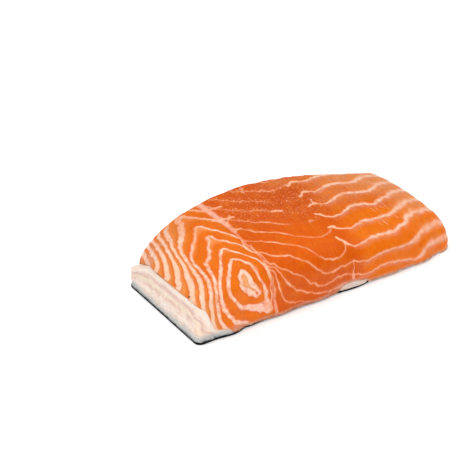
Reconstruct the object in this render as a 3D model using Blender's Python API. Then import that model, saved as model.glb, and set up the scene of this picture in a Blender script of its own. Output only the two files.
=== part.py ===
# Raw salmon fillet portion, cut side and bone side up, lying on its skin.
# Sizes are in millimetres and become metres when a mesh is made.
# +X runs from the thick back end of the fish (fat edge) to the thin belly end,
# -Y is the front cut face, +Y the back cut face, +Z is up.
import bpy
import bmesh
import math

for old in list(bpy.data.objects):
    bpy.data.objects.remove(old, do_unlink=True)

MM = 0.001

# ---- driving dimensions -------------------------------------------------
X_FAT_END = -69.5        # back end of the fish: fat edge
X_BELLY_END = 73.0       # belly end
Y_FRONT = -29.0          # front cut face
Y_BACK = 29.0            # back cut face
R_FRONT_FAT = 2.6        # plan corner radii
R_BACK_FAT = 2.0
R_FRONT_BELLY = 6.0
R_BACK_BELLY = 10.0

SKIN_T = 1.0             # skin thickness
GAP = 0.3                # clearance between neighbouring solids
FAT_T = 1.5              # fat layer under the flesh, away from the fat end

CREST_Z = 34.2           # highest line of the loin, along the back cut face
CREST_X = -12.0          # where that line is highest
BELLY_Z = 15.6           # back edge height at the belly end
BELLY_DOME = 2.3         # the belly end is this much higher in its middle
FRONT_Z = 27.8           # front edge height of the loin before rounding
FRONT_X = -36.0
FRONT_BELLY_Z = 14.2     # front edge height of the belly end before rounding

RIM_FRONT_Z = 19.8       # fat height at the front corner of the fat end
RIM_BACK_Z = 9.2         # fat height at its back corner
LEDGE = 5.5              # the fat stands out this far there

WALL_LOIN_Z = 19.8       # upright part of the front cut face at the loin
WALL_BELLY_Z = 7.0       # and at the belly end
ROUND_Y = 12.0           # rounding between top and front cut face
BACK_ROUND = 2.5         # small rounding at the back cut face
BACK_ROUND_Z = 1.2
END_ROUND = 9.0          # rounding at the belly end
END_ROUND_Z = 5.2

WEDGE_L = 18.0           # fat wedge length along the front cut face
WEDGE_HOLLOW = 0.72      # how much the wedge thins out past its first third
MID_LENS = 1.3           # fat thickening under the mid line
MID_X = 17.0
LOIN_COVER = 0.9         # the flesh stands out over the fat by this much
BELLY_COVER = 2.5
LIP_Z = 0.7              # lowest point of the flesh that hangs over the skin

STATIONS = 50
TOP_STEPS = 20
WALL_STEPS = 5
BACK_STEPS = 4
UNDER_STEPS = 9


def clamp(v, lo=0.0, hi=1.0):
    return max(lo, min(hi, v))


def smooth(a, b, v):
    t = clamp((v - a) / (b - a))
    return t * t * (3.0 - 2.0 * t)


def hump(v, centre, width):
    return math.exp(-((v - centre) / width) ** 2)


def corner_inset(dist, radius):
    d = clamp(dist, 0.0, radius)
    return radius - math.sqrt(max(radius * radius - (radius - d) ** 2, 0.0))


def quarter(u):
    # 1 at u = 0 falling to 0 at u = 1, upright at u = 0
    u = clamp(u)
    return 1.0 - math.sqrt(max(1.0 - (1.0 - u) ** 2, 0.0))


def y_front(x):
    inset = max(corner_inset(x - X_FAT_END, R_FRONT_FAT),
                corner_inset(X_BELLY_END - x, R_FRONT_BELLY))
    wave = (-1.3 * hump(x, -53.0, 6.0) + 0.7 * hump(x, -45.0, 3.0)
            + 0.3 * math.sin(0.31 * x) + 2.6 * smooth(52.0, 66.0, x))
    return Y_FRONT + inset + wave


def y_back(x):
    inset = max(corner_inset(x - X_FAT_END, R_BACK_FAT),
                corner_inset(X_BELLY_END - x, R_BACK_BELLY))
    return Y_BACK - inset + 0.4 * math.sin(0.09 * x)


def rim(y):
    # height of the fat along the fat end
    return RIM_FRONT_Z - 1.0 * smooth(-29.0, 5.0, y) - (RIM_FRONT_Z - 1.0 - RIM_BACK_Z) * smooth(8.0, 32.0, y)


def ledge(y):
    # the fat stands out bare in front of the flesh near its back corner
    return LEDGE * smooth(4.0, 29.0, y)


def crown(x, v):
    # the domed top without its rounded rims, v runs from front to back
    back = CREST_Z - (CREST_Z - BELLY_Z) * clamp((x - CREST_X) / (X_BELLY_END - CREST_X)) ** 1.5
    front = FRONT_Z - (FRONT_Z - FRONT_BELLY_Z) * clamp((x - FRONT_X) / (X_BELLY_END - FRONT_X)) ** 1.15
    return front + (back - front) * v ** 0.9 + BELLY_DOME * smooth(5.0, 65.0, x) * 4.0 * v * (1.0 - v)


def shoulder(x, y, v):
    # 0 where the flesh leaves the fat, 1 where the top of the loin is reached
    start = X_FAT_END + ledge(y)
    top = FRONT_X + (CREST_X - FRONT_X) * v
    u = clamp((top - x) / (top - start))
    p = 2.05 - 0.2 * v
    return (1.0 - u ** p) ** (1.0 / p)


def front_wall(x):
    t = clamp((x + 44.0) / (X_BELLY_END + 44.0))
    return WALL_LOIN_Z - (WALL_LOIN_Z - WALL_BELLY_Z) * t ** 0.9


def front_round(x):
    return ROUND_Y * (0.35 + 0.65 * smooth(X_FAT_END, X_FAT_END + 18.0, x))


def envelope(x, y):
    # height of the whole piece above the board
    yf, yb = y_front(x), y_back(x)
    v = clamp((y - yf) / (yb - yf))
    low = rim(y)
    z = low + (crown(x, v) - low) * shoulder(x, y, v)
    edge_low = rim(yf)
    edge = edge_low + (crown(x, 0.0) - edge_low) * shoulder(x, yf, 0.0)
    z -= max(edge - front_wall(x), 0.0) * quarter((y - yf) / front_round(x))
    z -= BACK_ROUND_Z * smooth(-66.0, -58.0, x) * quarter((yb - y) / BACK_ROUND)
    z -= END_ROUND_Z * quarter((X_BELLY_END - x) / END_ROUND)
    return z


def mid_line(y):
    return MID_X - 0.07 * (Y_BACK - y)


def wedge_length(y):
    return WEDGE_L * (1.0 - 0.30 * smooth(8.0, 29.0, y))


def fat_top(x, y):
    # upper surface of the fat: a thin layer, a wedge at the fat end and a
    # slight thickening under the mid line
    layer = SKIN_T + GAP + FAT_T
    step = ledge(y)
    u = clamp((x - X_FAT_END - step) / (wedge_length(y) - step))
    z = layer + (rim(y) + 0.3 - layer) * (1.0 - u) * (1.0 - WEDGE_HOLLOW * smooth(0.24, 0.54, u))
    z += MID_LENS * hump(x, mid_line(y), 5.0)
    return z


def fat_inset(x):
    # the flesh covers the fat along the loin, bares it under the mid line and
    # hangs over fat and skin at the belly
    return (LOIN_COVER * smooth(-51.0, -47.0, x) * (1.0 - smooth(2.0, 8.0, x))
            + BELLY_COVER * smooth(20.0, 28.0, x))


def skin_inset(x):
    return 0.3 * smooth(-48.0, -44.0, x) + (BELLY_COVER - 0.3) * smooth(20.0, 28.0, x)


def lip(x, low):
    # lower edge of the flesh on the front cut face
    loin = smooth(-52.0, -47.0, x) * (1.0 - smooth(1.0, 7.0, x))
    low += (SKIN_T + GAP + 0.1 - low) * loin
    return low + (LIP_Z - low) * smooth(22.0, 30.0, x)


def new_object(name, bm, colour, roughness, sharp_deg=48.0):
    bmesh.ops.remove_doubles(bm, verts=bm.verts[:], dist=0.00002)
    bmesh.ops.dissolve_degenerate(bm, edges=bm.edges[:], dist=0.00002)
    bmesh.ops.triangulate(bm, faces=[f for f in bm.faces if len(f.verts) == 4])
    bmesh.ops.recalc_face_normals(bm, faces=bm.faces[:])
    limit = math.radians(sharp_deg)
    for face in bm.faces:
        face.smooth = True
    for edge in bm.edges:
        if len(edge.link_faces) == 2 and edge.calc_face_angle(0.0) > limit:
            edge.smooth = False
    mesh = bpy.data.meshes.new(name)
    bm.to_mesh(mesh)
    bm.free()
    mat = bpy.data.materials.new(name)
    mat.use_nodes = True
    shader = mat.node_tree.nodes["Principled BSDF"]
    shader.inputs["Base Color"].default_value = (*colour, 1.0)
    shader.inputs["Roughness"].default_value = roughness
    shader.inputs["Metallic"].default_value = 0.0
    mesh.materials.append(mat)
    ob = bpy.data.objects.new(name, mesh)
    bpy.context.scene.collection.objects.link(ob)
    return ob


def quad(bm, a, b, c, d):
    loop = []
    for v in (a, b, c, d):
        if v not in loop:
            loop.append(v)
    if len(loop) >= 3:
        try:
            bm.faces.new(loop)
        except ValueError:
            pass


def stations(count, start, end):
    # evenly spaced, closer together at both rounded ends
    out = []
    for i in range(count + 1):
        t = i / count
        t = t - 0.10 * math.sin(2.0 * math.pi * t)
        out.append(start + (end - start) * t)
    return out


def flesh_floor(x, y):
    # underside of the flesh: the gap is measured square to the sloping fat
    d = 0.4
    slope = math.hypot((fat_top(x + d, y) - fat_top(x - d, y)) / (2 * d),
                       (fat_top(x, y + d) - fat_top(x, y - d)) / (2 * d))
    lens = hump(x, mid_line(y), 8.0) + 1.5 * hump(x, X_FAT_END + wedge_length(y), 3.5)
    return fat_top(x, y) + (GAP + 0.06 + 0.16 * clamp(slope + lens)) * math.sqrt(1.0 + slope * slope)


def flesh_start(v):
    # where the flesh begins above the fat, at the fraction v of the width
    lo, hi = X_FAT_END + 0.25, X_FAT_END + 16.0
    for _ in range(40):
        mid = 0.5 * (lo + hi)
        yf, yb = y_front(mid), y_back(mid)
        y = yf + (yb - yf) * v
        if envelope(mid, y) > flesh_floor(mid, y) + 0.4:
            hi = mid
        else:
            lo = mid
    return hi


def flesh_loop(i, starts):
    # one loop of the flesh: up the front cut face, over the top, down the back
    t = i / STATIONS
    t = t - 0.10 * math.sin(2.0 * math.pi * t)
    under, over = [], []

    def at(v):
        k = v * (len(starts) - 1)
        a = int(min(math.floor(k), len(starts) - 2))
        x0 = starts[a] + (starts[a + 1] - starts[a]) * (k - a)
        x = x0 + (X_BELLY_END - x0) * t
        return x, y_front(x), y_back(x)

    x, yf, yb = at(0.0)
    low = lip(x, flesh_floor(x, yf))
    wall = envelope(x, yf)
    low = min(low, wall - 0.2)
    for k in range(WALL_STEPS):
        over.append((x, yf, low + (wall - low) * k / WALL_STEPS))
    for k in range(TOP_STEPS + 1):
        u = k / TOP_STEPS
        v = u ** 1.9 if u < 1.0 else 1.0
        v = 0.62 * v + 0.38 * (0.5 - 0.5 * math.cos(math.pi * v))
        x, yf, yb = at(v)
        y = yf + (yb - yf) * v
        over.append((x, y, envelope(x, y)))
    x, yf, yb = at(1.0)
    high = envelope(x, yb)
    foot = min(flesh_floor(x, yb), high - 0.2)
    for k in range(1, BACK_STEPS + 1):
        over.append((x, yb, high + (foot - high) * k / BACK_STEPS))

    under.append(over[0])
    x, yf, yb = at(0.0)
    y = yf + max(fat_inset(x) - 0.4, 0.35)
    under.append((x, y, min(flesh_floor(x, y) + 0.1, envelope(x, y) - 0.2)))
    for k in range(1, UNDER_STEPS):
        v = k / UNDER_STEPS
        x, yf, yb = at(v)
        y = yf + (yb - yf) * v
        under.append((x, y, min(flesh_floor(x, y), envelope(x, y) - 0.2)))
    under.append(over[-1])
    return over, under


def build_flesh():
    starts = [flesh_start(k / 24) for k in range(25)]
    bm = bmesh.new()
    tops, unders = [], []
    for i in range(STATIONS + 1):
        over, under = flesh_loop(i, starts)
        row = [bm.verts.new((p[0] * MM, p[1] * MM, p[2] * MM)) for p in over]
        base = [row[0]]
        for p in under[1:-1]:
            base.append(bm.verts.new((p[0] * MM, p[1] * MM, p[2] * MM)))
        base.append(row[-1])
        tops.append(row)
        unders.append(base)
    for i in range(STATIONS):
        for grid in (tops, unders):
            a, b = grid[i], grid[i + 1]
            for j in range(len(a) - 1):
                quad(bm, a[j], a[j + 1], b[j + 1], b[j])
    # the two ends: the loop over the top is joined to the line underneath
    for i in (0, STATIONS):
        top, base = tops[i], unders[i]
        j = k = 0
        while j < len(top) - 1 or k < len(base) - 1:
            move_top = k >= len(base) - 1
            if not move_top and j < len(top) - 1:
                move_top = top[j + 1].co.y <= base[k + 1].co.y
            if move_top:
                quad(bm, top[j], top[j + 1], base[k], base[k])
                j += 1
            else:
                quad(bm, top[j], base[k + 1], base[k], base[k])
                k += 1
    return new_object("flesh", bm, (0.74, 0.15, 0.025), 0.38)


def slab(name, z_low, z_top, inset, ends, count, across, colour, roughness):
    # a closed sheet over the footprint between a flat underside and z_top
    bm = bmesh.new()
    xs = stations(count, X_FAT_END, X_BELLY_END - ends)
    lower, upper = [], []
    for x in xs:
        yf, yb = y_front(x) + inset(x), y_back(x) - 0.1
        lo, up = [], []
        for k in range(across + 1):
            y = yf + (yb - yf) * k / across
            lo.append(bm.verts.new((x * MM, y * MM, z_low * MM)))
            up.append(bm.verts.new((x * MM, y * MM, z_top(x, y) * MM)))
        lower.append(lo)
        upper.append(up)
    last = len(xs) - 1
    for i in range(last):
        for k in range(across):
            quad(bm, upper[i][k], upper[i + 1][k], upper[i + 1][k + 1], upper[i][k + 1])
        quad(bm, lower[i][0], lower[i + 1][0], upper[i + 1][0], upper[i][0])
        quad(bm, upper[i][across], upper[i + 1][across], lower[i + 1][across], lower[i][across])
    for i in (0, last):
        for k in range(across):
            quad(bm, lower[i][k], upper[i][k], upper[i][k + 1], lower[i][k + 1])
    ring = [lower[i][0] for i in range(last + 1)]
    ring += [lower[last][k] for k in range(1, across + 1)]
    ring += [lower[i][across] for i in range(last - 1, -1, -1)]
    ring += [lower[0][k] for k in range(across - 1, 0, -1)]
    bm.faces.new(ring)
    for lo in lower[1:-1]:
        for v in lo[1:-1]:
            if not v.link_faces:
                bm.verts.remove(v)
    return new_object(name, bm, colour, roughness)


def build_fat():
    return slab("fat", SKIN_T + GAP,
                lambda x, y: min(fat_top(x, y), envelope(x, y)),
                fat_inset, 2.5, 44, 12, (0.80, 0.62, 0.48), 0.42)


def build_skin():
    return slab("skin", 0.0, lambda x, y: SKIN_T,
                skin_inset, 2.5, 44, 1, (0.035, 0.040, 0.042), 0.35)


def centre_on_origin(objects):
    lows = [min(v.co[a] for ob in objects for v in ob.data.vertices) for a in range(3)]
    highs = [max(v.co[a] for ob in objects for v in ob.data.vertices) for a in range(3)]
    shift = (-(lows[0] + highs[0]) / 2, -(lows[1] + highs[1]) / 2, -lows[2])
    for ob in objects:
        for v in ob.data.vertices:
            v.co.x += shift[0]
            v.co.y += shift[1]
            v.co.z += shift[2]
        ob.data.update()


def main():
    parts = [build_flesh(), build_fat(), build_skin()]
    centre_on_origin(parts)


main()
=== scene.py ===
# Raw salmon fillet portion: the looks of the flesh, the fat and the skin.
# Sizes are in millimetres and become metres when a mesh is made.
import bpy
import math
import numpy as np
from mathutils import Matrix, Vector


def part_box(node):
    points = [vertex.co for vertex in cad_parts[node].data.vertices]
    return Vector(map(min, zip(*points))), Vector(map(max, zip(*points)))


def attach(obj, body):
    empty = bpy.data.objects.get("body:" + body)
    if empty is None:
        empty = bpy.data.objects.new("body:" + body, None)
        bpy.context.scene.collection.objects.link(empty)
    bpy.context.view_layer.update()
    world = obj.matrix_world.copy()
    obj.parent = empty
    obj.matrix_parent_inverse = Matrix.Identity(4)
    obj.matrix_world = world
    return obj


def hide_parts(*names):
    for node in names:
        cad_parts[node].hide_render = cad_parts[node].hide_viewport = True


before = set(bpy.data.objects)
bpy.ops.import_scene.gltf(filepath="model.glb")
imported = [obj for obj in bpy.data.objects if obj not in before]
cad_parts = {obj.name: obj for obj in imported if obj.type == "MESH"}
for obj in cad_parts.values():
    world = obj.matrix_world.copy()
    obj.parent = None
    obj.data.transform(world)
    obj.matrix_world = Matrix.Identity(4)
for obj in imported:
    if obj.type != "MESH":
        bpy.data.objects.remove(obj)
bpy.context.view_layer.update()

MM = 0.001
RNG = np.random.default_rng(11)

# ---- the part's own dimensions, as in the CAD ----------------------------
X_FAT_END, X_BELLY_END = -69.5, 73.0
Y_FRONT, Y_BACK = -29.0, 29.0
R_FRONT_FAT, R_BACK_FAT, R_FRONT_BELLY, R_BACK_BELLY = 2.6, 2.0, 6.0, 10.0
SKIN_T, GAP, FAT_T = 1.0, 0.3, 1.5
CREST_Z, CREST_X, BELLY_Z, BELLY_DOME = 34.2, -12.0, 15.6, 2.3
FRONT_Z, FRONT_X, FRONT_BELLY_Z = 27.8, -36.0, 14.2
RIM_FRONT_Z, RIM_BACK_Z, LEDGE = 19.8, 9.2, 5.5
WALL_LOIN_Z, WALL_BELLY_Z, ROUND_Y = 19.8, 7.0, 12.0
BACK_ROUND, BACK_ROUND_Z, END_ROUND, END_ROUND_Z = 2.5, 1.2, 9.0, 5.2
WEDGE_L, WEDGE_HOLLOW, MID_LENS, MID_X = 18.0, 0.72, 1.3, 17.0
LOIN_COVER, BELLY_COVER, LIP_Z = 0.9, 2.5, 0.7


def clamp(v, lo=0.0, hi=1.0):
    return np.clip(v, lo, hi)


def smooth(a, b, v):
    t = clamp((np.asarray(v, float) - a) / (b - a))
    return t * t * (3.0 - 2.0 * t)


def hump(v, centre, width):
    return np.exp(-((np.asarray(v, float) - centre) / width) ** 2)


def spot(x, t, cx, ct, rx, rt):
    return np.exp(-((x - cx) / rx) ** 2 - ((t - ct) / rt) ** 2)


def corner_inset(dist, radius):
    d = clamp(dist, 0.0, radius)
    return radius - np.sqrt(np.maximum(radius * radius - (radius - d) ** 2, 0.0))


def quarter(u):
    u = clamp(u)
    return 1.0 - np.sqrt(np.maximum(1.0 - (1.0 - u) ** 2, 0.0))


def y_front(x):
    inset = np.maximum(corner_inset(x - X_FAT_END, R_FRONT_FAT),
                       corner_inset(X_BELLY_END - x, R_FRONT_BELLY))
    wave = (-1.3 * hump(x, -53.0, 6.0) + 0.7 * hump(x, -45.0, 3.0)
            + 0.3 * np.sin(0.31 * x) + 2.6 * smooth(52.0, 66.0, x))
    return Y_FRONT + inset + wave


def y_back(x):
    inset = np.maximum(corner_inset(x - X_FAT_END, R_BACK_FAT),
                       corner_inset(X_BELLY_END - x, R_BACK_BELLY))
    return Y_BACK - inset + 0.4 * np.sin(0.09 * x)


def rim(y):
    return (RIM_FRONT_Z - 1.0 * smooth(-29.0, 5.0, y)
            - (RIM_FRONT_Z - 1.0 - RIM_BACK_Z) * smooth(8.0, 32.0, y))


def ledge(y):
    return LEDGE * smooth(4.0, 29.0, y)


def crown(x, v):
    back = CREST_Z - (CREST_Z - BELLY_Z) * clamp((x - CREST_X) / (X_BELLY_END - CREST_X)) ** 1.5
    front = FRONT_Z - (FRONT_Z - FRONT_BELLY_Z) * clamp((x - FRONT_X) / (X_BELLY_END - FRONT_X)) ** 1.15
    return front + (back - front) * v ** 0.9 + BELLY_DOME * smooth(5.0, 65.0, x) * 4.0 * v * (1.0 - v)


def shoulder(x, y, v):
    start = X_FAT_END + ledge(y)
    top = FRONT_X + (CREST_X - FRONT_X) * v
    u = clamp((top - x) / (top - start))
    p = 2.05 - 0.2 * v
    return (1.0 - u ** p) ** (1.0 / p)


def front_wall(x):
    t = clamp((x + 44.0) / (X_BELLY_END + 44.0))
    return WALL_LOIN_Z - (WALL_LOIN_Z - WALL_BELLY_Z) * t ** 0.9


def front_round(x):
    return ROUND_Y * (0.35 + 0.65 * smooth(X_FAT_END, X_FAT_END + 18.0, x))


def envelope(x, y):
    x, y = np.broadcast_arrays(np.asarray(x, float), np.asarray(y, float))
    yf, yb = y_front(x), y_back(x)
    v = clamp((y - yf) / (yb - yf))
    low = rim(y)
    z = low + (crown(x, v) - low) * shoulder(x, y, v)
    zero = np.zeros_like(x)
    edge_low = rim(yf)
    edge = edge_low + (crown(x, zero) - edge_low) * shoulder(x, yf, zero)
    z = z - np.maximum(edge - front_wall(x), 0.0) * quarter((y - yf) / front_round(x))
    z = z - BACK_ROUND_Z * smooth(-66.0, -58.0, x) * quarter((yb - y) / BACK_ROUND)
    return z - END_ROUND_Z * quarter((X_BELLY_END - x) / END_ROUND)


def mid_line(y):
    return MID_X - 0.07 * (Y_BACK - y)


def wedge_length(y):
    return WEDGE_L * (1.0 - 0.30 * smooth(8.0, 29.0, y))


def fat_top(x, y):
    layer = SKIN_T + GAP + FAT_T
    step = ledge(y)
    u = clamp((x - X_FAT_END - step) / (wedge_length(y) - step))
    return (layer + (rim(y) + 0.3 - layer) * (1.0 - u) * (1.0 - WEDGE_HOLLOW * smooth(0.24, 0.54, u))
            + MID_LENS * hump(x, mid_line(y), 5.0))


def fat_inset(x):
    return (LOIN_COVER * smooth(-51.0, -47.0, x) * (1.0 - smooth(2.0, 8.0, x))
            + BELLY_COVER * smooth(20.0, 28.0, x))


def skin_inset(x):
    return 0.3 * smooth(-48.0, -44.0, x) + (BELLY_COVER - 0.3) * smooth(20.0, 28.0, x)


def lip(x, low):
    loin = smooth(-54.0, -50.0, x) * (1.0 - smooth(3.0, 8.5, x))
    low = low + (SKIN_T + 0.06 - 0.5 * smooth(-40.0, -32.0, x) - low) * loin
    return low + (LIP_Z - low) * smooth(17.5, 25.0, x)


# the CAD centres the whole piece, so the same move is read from its boxes
skin_lo, skin_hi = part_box("skin")
flesh_lo, flesh_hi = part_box("flesh")
_x = np.linspace(X_FAT_END, X_BELLY_END, 2001)
SHIFT = np.array([skin_lo.x / MM - X_FAT_END, flesh_hi.y / MM - y_back(_x).max(), 0.0])

# ---- arc length t from the ground at the front, up and over the top ------
XG = np.linspace(X_FAT_END, X_BELLY_END, 571)
VG = np.linspace(0.0, 1.0, 481) ** 1.35
_X = np.repeat(XG[:, None], len(VG), 1)
_YF, _YB = y_front(_X), y_back(_X)
_Y = _YF + (_YB - _YF) * VG[None, :]
_Z = envelope(_X, _Y)
T_TABLE = np.concatenate([np.zeros((len(XG), 1)),
                          np.cumsum(np.hypot(np.diff(_Y, axis=1), np.diff(_Z, axis=1)), axis=1)], 1) + _Z[:, :1]
T_EDGE = T_TABLE[:, -1]
Z_EDGE = _Z[:, -1]


def arc_of(x, v):
    """t at the place x and the fraction v of the width, by bilinear steps in the table."""
    i = np.clip((x - XG[0]) / (XG[1] - XG[0]), 0, len(XG) - 1.001)
    k = np.clip(np.clip(v, 0, 1) ** (1 / 1.35) * (len(VG) - 1), 0, len(VG) - 1.001)
    a, b = i.astype(int), k.astype(int)
    p, q = i - a, k - b
    return ((T_TABLE[a, b] * (1 - q) + T_TABLE[a, b + 1] * q) * (1 - p)
            + (T_TABLE[a + 1, b] * (1 - q) + T_TABLE[a + 1, b + 1] * q) * p)


# ---- the septa: pale walls between the flakes -----------------------------
# Each line is a few points (x, t) along one septum, and its number counts the
# septa outwards. A thin-plate surface through them gives a smooth count, whose
# whole numbers are the lines.
SEAM = [(-28.0, 0), (-29.3, 6), (-30.5, 12), (-31, 20), (-30.6, 26), (-31.5, 31), (-32, 37), (-32.5, 42),
        (-32, 48), (-31.7, 54), (-32, 60), (-32.5, 66), (-33, 74), (-33, 84), (-33, 120)]
CHAIN = [(13.4, 0), (13.3, 15), (11.9, 25), (12.1, 35), (13.0, 45), (15.3, 54), (16.4, 63.5), (16.3, 72.5), (16.3, 120)]

RINGS = {
    -0.45: [(-44.2, 25), (-43, 22), (-41, 19.3)],
    0: [(-46, 24), (-44.5, 27.5), (-43, 28.6), (-41.8, 26.5), (-41.6, 23), (-40.4, 20.5), (-38.2, 17.2), (-37.6, 15.4),
        (-40, 16.3), (-43, 18.3), (-45.4, 20.6), (-46.5, 22.5)],
    1: [(-43, 36.5), (-46, 34), (-49, 31), (-51, 28), (-52.5, 25), (-53, 22.5), (-52.5, 20), (-50.5, 17), (-48.5, 14),
        (-46, 11.5), (-42, 10), (-39, 9), (-36, 7.5), (-34, 5.7), (-32.8, 4.5), (-33.3, 10), (-33.6, 14), (-35, 18),
        (-36.5, 22), (-37, 26), (-37.5, 29), (-39.5, 32), (-41.5, 34.8)],
    2: [(-43, 45), (-41, 42), (-39, 39), (-37.5, 36), (-35.5, 33), (-33.5, 30.5), (-32, 28), (-45, 43), (-47, 40.5),
        (-49, 37.5), (-50.5, 35), (-53, 32), (-55, 28.5), (-56.5, 25.5), (-57.3, 22), (-57.3, 19), (-56, 15),
        (-54.5, 12), (-52.5, 9), (-50, 6), (-47, 4), (-43, 2)],
    3: [(-43, 56), (-42, 54), (-40, 50.5), (-38, 48), (-36.5, 45.5), (-35, 43), (-34, 39), (-33, 36), (-44.3, 53.5),
        (-46.8, 50.3), (-49, 47), (-51.7, 44), (-54, 40.5), (-55.4, 36.8), (-56.2, 32), (-57, 28.4), (-58.2, 25.5),
        (-59, 22.9), (-59.5, 20.3), (-59.1, 17), (-58.8, 13.9), (-58.2, 10.9), (-57.1, 7.4), (-54.8, 3.3)],
    4: [(-43, 66), (-40.5, 61.8), (-38, 58), (-36, 54.5), (-34.5, 51.5), (-33.5, 49), (-45, 64), (-48, 60), (-52, 55.9),
        (-54.4, 52.4), (-56.6, 48.8), (-58, 44.5), (-58.2, 38.7), (-58.6, 33.3), (-59.6, 29.5), (-60.6, 26.3),
        (-61.5, 23.5), (-62.3, 21.0), (-62.5, 18.3), (-61.9, 14.8), (-61.5, 11.9), (-61.3, 8.9), (-60, 4)],
    5: [(-43.5, 79), (-42, 77), (-40, 73.5), (-38, 70), (-36, 67), (-34, 64.5), (-46, 75), (-48, 72), (-50, 68),
        (-52, 65), (-54.5, 61.3), (-56.6, 58), (-57.8, 54.5), (-58.5, 50.2), (-59.3, 45.3), (-60.1, 40.8), (-60.9, 35.9),
        (-62.1, 31.8), (-63.6, 28.1), (-65.1, 25.1), (-66.5, 22.3)],
    6: [(-38.5, 82), (-37, 79), (-35, 75), (-51.5, 80), (-54, 75), (-55.5, 70), (-57, 65), (-58.5, 61.5), (-59.3, 57),
        (-60.3, 52.5), (-61.1, 47.6), (-62.3, 43.3), (-63.8, 39.5), (-64.9, 35.1), (-66.3, 31.4), (-68, 27.6), (-69.2, 23.6)],
    7: [(-55.5, 80), (-57, 74), (-58.8, 68), (-59.7, 64.5), (-61.2, 59.6), (-62.3, 55), (-63.4, 50.6), (-64.8, 46.7),
        (-66.3, 43), (-67.7, 39.4), (-69.1, 35)],
    8: [(-58, 81), (-60.2, 72.5), (-61.8, 67.5), (-63.2, 62.8), (-64.4, 58), (-65.7, 54), (-67.2, 50.2), (-68.5, 46.2)],
    9: [(-60.5, 80), (-62.6, 73.5), (-64.5, 67.5), (-66, 62.4), (-67.5, 57.7), (-69.1, 53.6)],
    10: [(-62.9, 81), (-65, 75.5), (-67, 69.5), (-68.8, 62)],
    11: [(-65.2, 83), (-66.9, 78.5), (-68.4, 73)],
}
MIDDLE = {
    -2: [(-30, 21), (-29.6, 14), (-29.2, 9), (-28.3, 5), (-27.7, 2)],
    -1: [(-28.6, 20), (-27.5, 17), (-26.5, 13), (-25.5, 10), (-24, 7.5), (-22, 5.5), (-18, 4), (-14, 3)],
    0: [(-28, 25), (-26, 21.5), (-24, 18), (-22, 15), (-20, 13), (-17, 10), (-13, 7.5), (-8, 5.3), (-3, 4), (6, 3.4)],
    1: [(-29, 27.5), (-26, 25), (-22, 21.5), (-18, 18.5), (-13, 15), (-10, 11.5), (-6, 9), (-2, 7.5), (1, 8), (4, 8.8),
        (8, 9.2), (13, 8.2)],
    2: [(-30, 34), (-27, 32), (-22, 29), (-18, 27.5), (-13, 23.5), (-10, 21.5), (-7, 18), (-4, 15), (-1, 13.3),
        (3, 13.3), (8, 14), (13.2, 15.2)],
    3: [(-30, 43.5), (-25, 41), (-20, 37), (-17, 34.5), (-12, 31), (-8, 28), (-4, 23), (0, 20), (4, 18.8), (8, 19.2),
        (10.5, 21), (12, 24.6)],
    4: [(-29, 53), (-26, 51), (-22, 46.7), (-19, 45), (-15, 42.5), (-12, 40), (-9, 37), (-6, 35.5), (-2, 33), (3, 31),
        (8, 32.3), (12, 34.8)],
    5: [(-30, 63), (-24, 57), (-20, 53.5), (-17, 52), (-13, 49.5), (-8, 46), (-3, 44.5), (2, 42), (5, 41.5),
        (9, 42.6), (13, 45)],
    6: [(-30, 72), (-24, 66.5), (-19, 62.5), (-15, 60.5), (-10, 58), (-5, 55), (0, 52.5), (5, 51), (9, 51.5),
        (15.4, 54)],
    7: [(-28, 80), (-20, 72), (-16, 69), (-12, 67), (-8, 65), (-3, 62), (3, 60.5), (8, 60.3), (16.4, 63.5)],
    8: [(-20, 81), (-15, 77), (-8, 73.5), (-3, 71.5), (0, 70), (4, 69), (8, 70), (16.3, 72.5)],
    9: [(-10, 82), (-4, 79.5), (0, 77.5), (4, 76), (10, 77.5), (16, 80)],
}
BELLY = {
    0: [(14, 3.5), (22, 1), (34, 1), (44, -1), (53, -1), (64, 0)],
    1: [(13.5, 8.2), (20, 5.6), (24, 5.5), (30, 7.3), (36, 6.8), (44, 5), (50, 4), (53, 5.5), (55, 8), (60, 8.3),
        (64, 7.6), (72, 8)],
    2: [(13.3, 15.2), (21, 12.6), (28, 13.5), (34, 14), (44, 13), (50, 14.3), (55, 16.5), (60, 16.6), (66, 15.7), (73, 15)],
    3: [(12, 24.6), (15, 22), (20, 21.3), (30, 22.3), (40, 21.3), (44, 22.4), (48, 23), (52, 26), (57, 27.5), (61, 26),
        (66, 25), (73, 24.5)],
    4: [(12, 34.8), (15, 33), (20, 30.8), (23, 31), (28, 32.5), (34, 32), (42, 31.5), (48, 32), (53, 34.5), (57, 35.5),
        (65, 34), (73, 33.5)],
    5: [(13, 45), (16, 42), (20, 41), (24, 41.5), (30, 44), (35, 44.5), (40, 42.5), (44, 41), (48, 42.5), (55, 44.5),
        (58, 45), (64, 43.5), (73, 43)],
    6: [(15.4, 54), (18, 52), (21, 51), (26, 52), (30, 53.8), (35, 54.5), (40, 53), (44, 51.8), (48, 51.5), (52, 53),
        (57, 55), (62, 54), (73, 52.5)],
    7: [(16.4, 63.5), (20, 62), (24, 61), (28, 62.5), (33, 63.7), (40, 62.7), (46, 61.2), (50, 63), (55, 65), (60, 64),
        (66, 62.5), (73, 61.5)],
    8: [(16.3, 72.5), (20, 70.8), (25, 70.5), (30, 72), (40, 72.5), (46, 71.3), (53, 73.5), (60, 73.5)],
}


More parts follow.
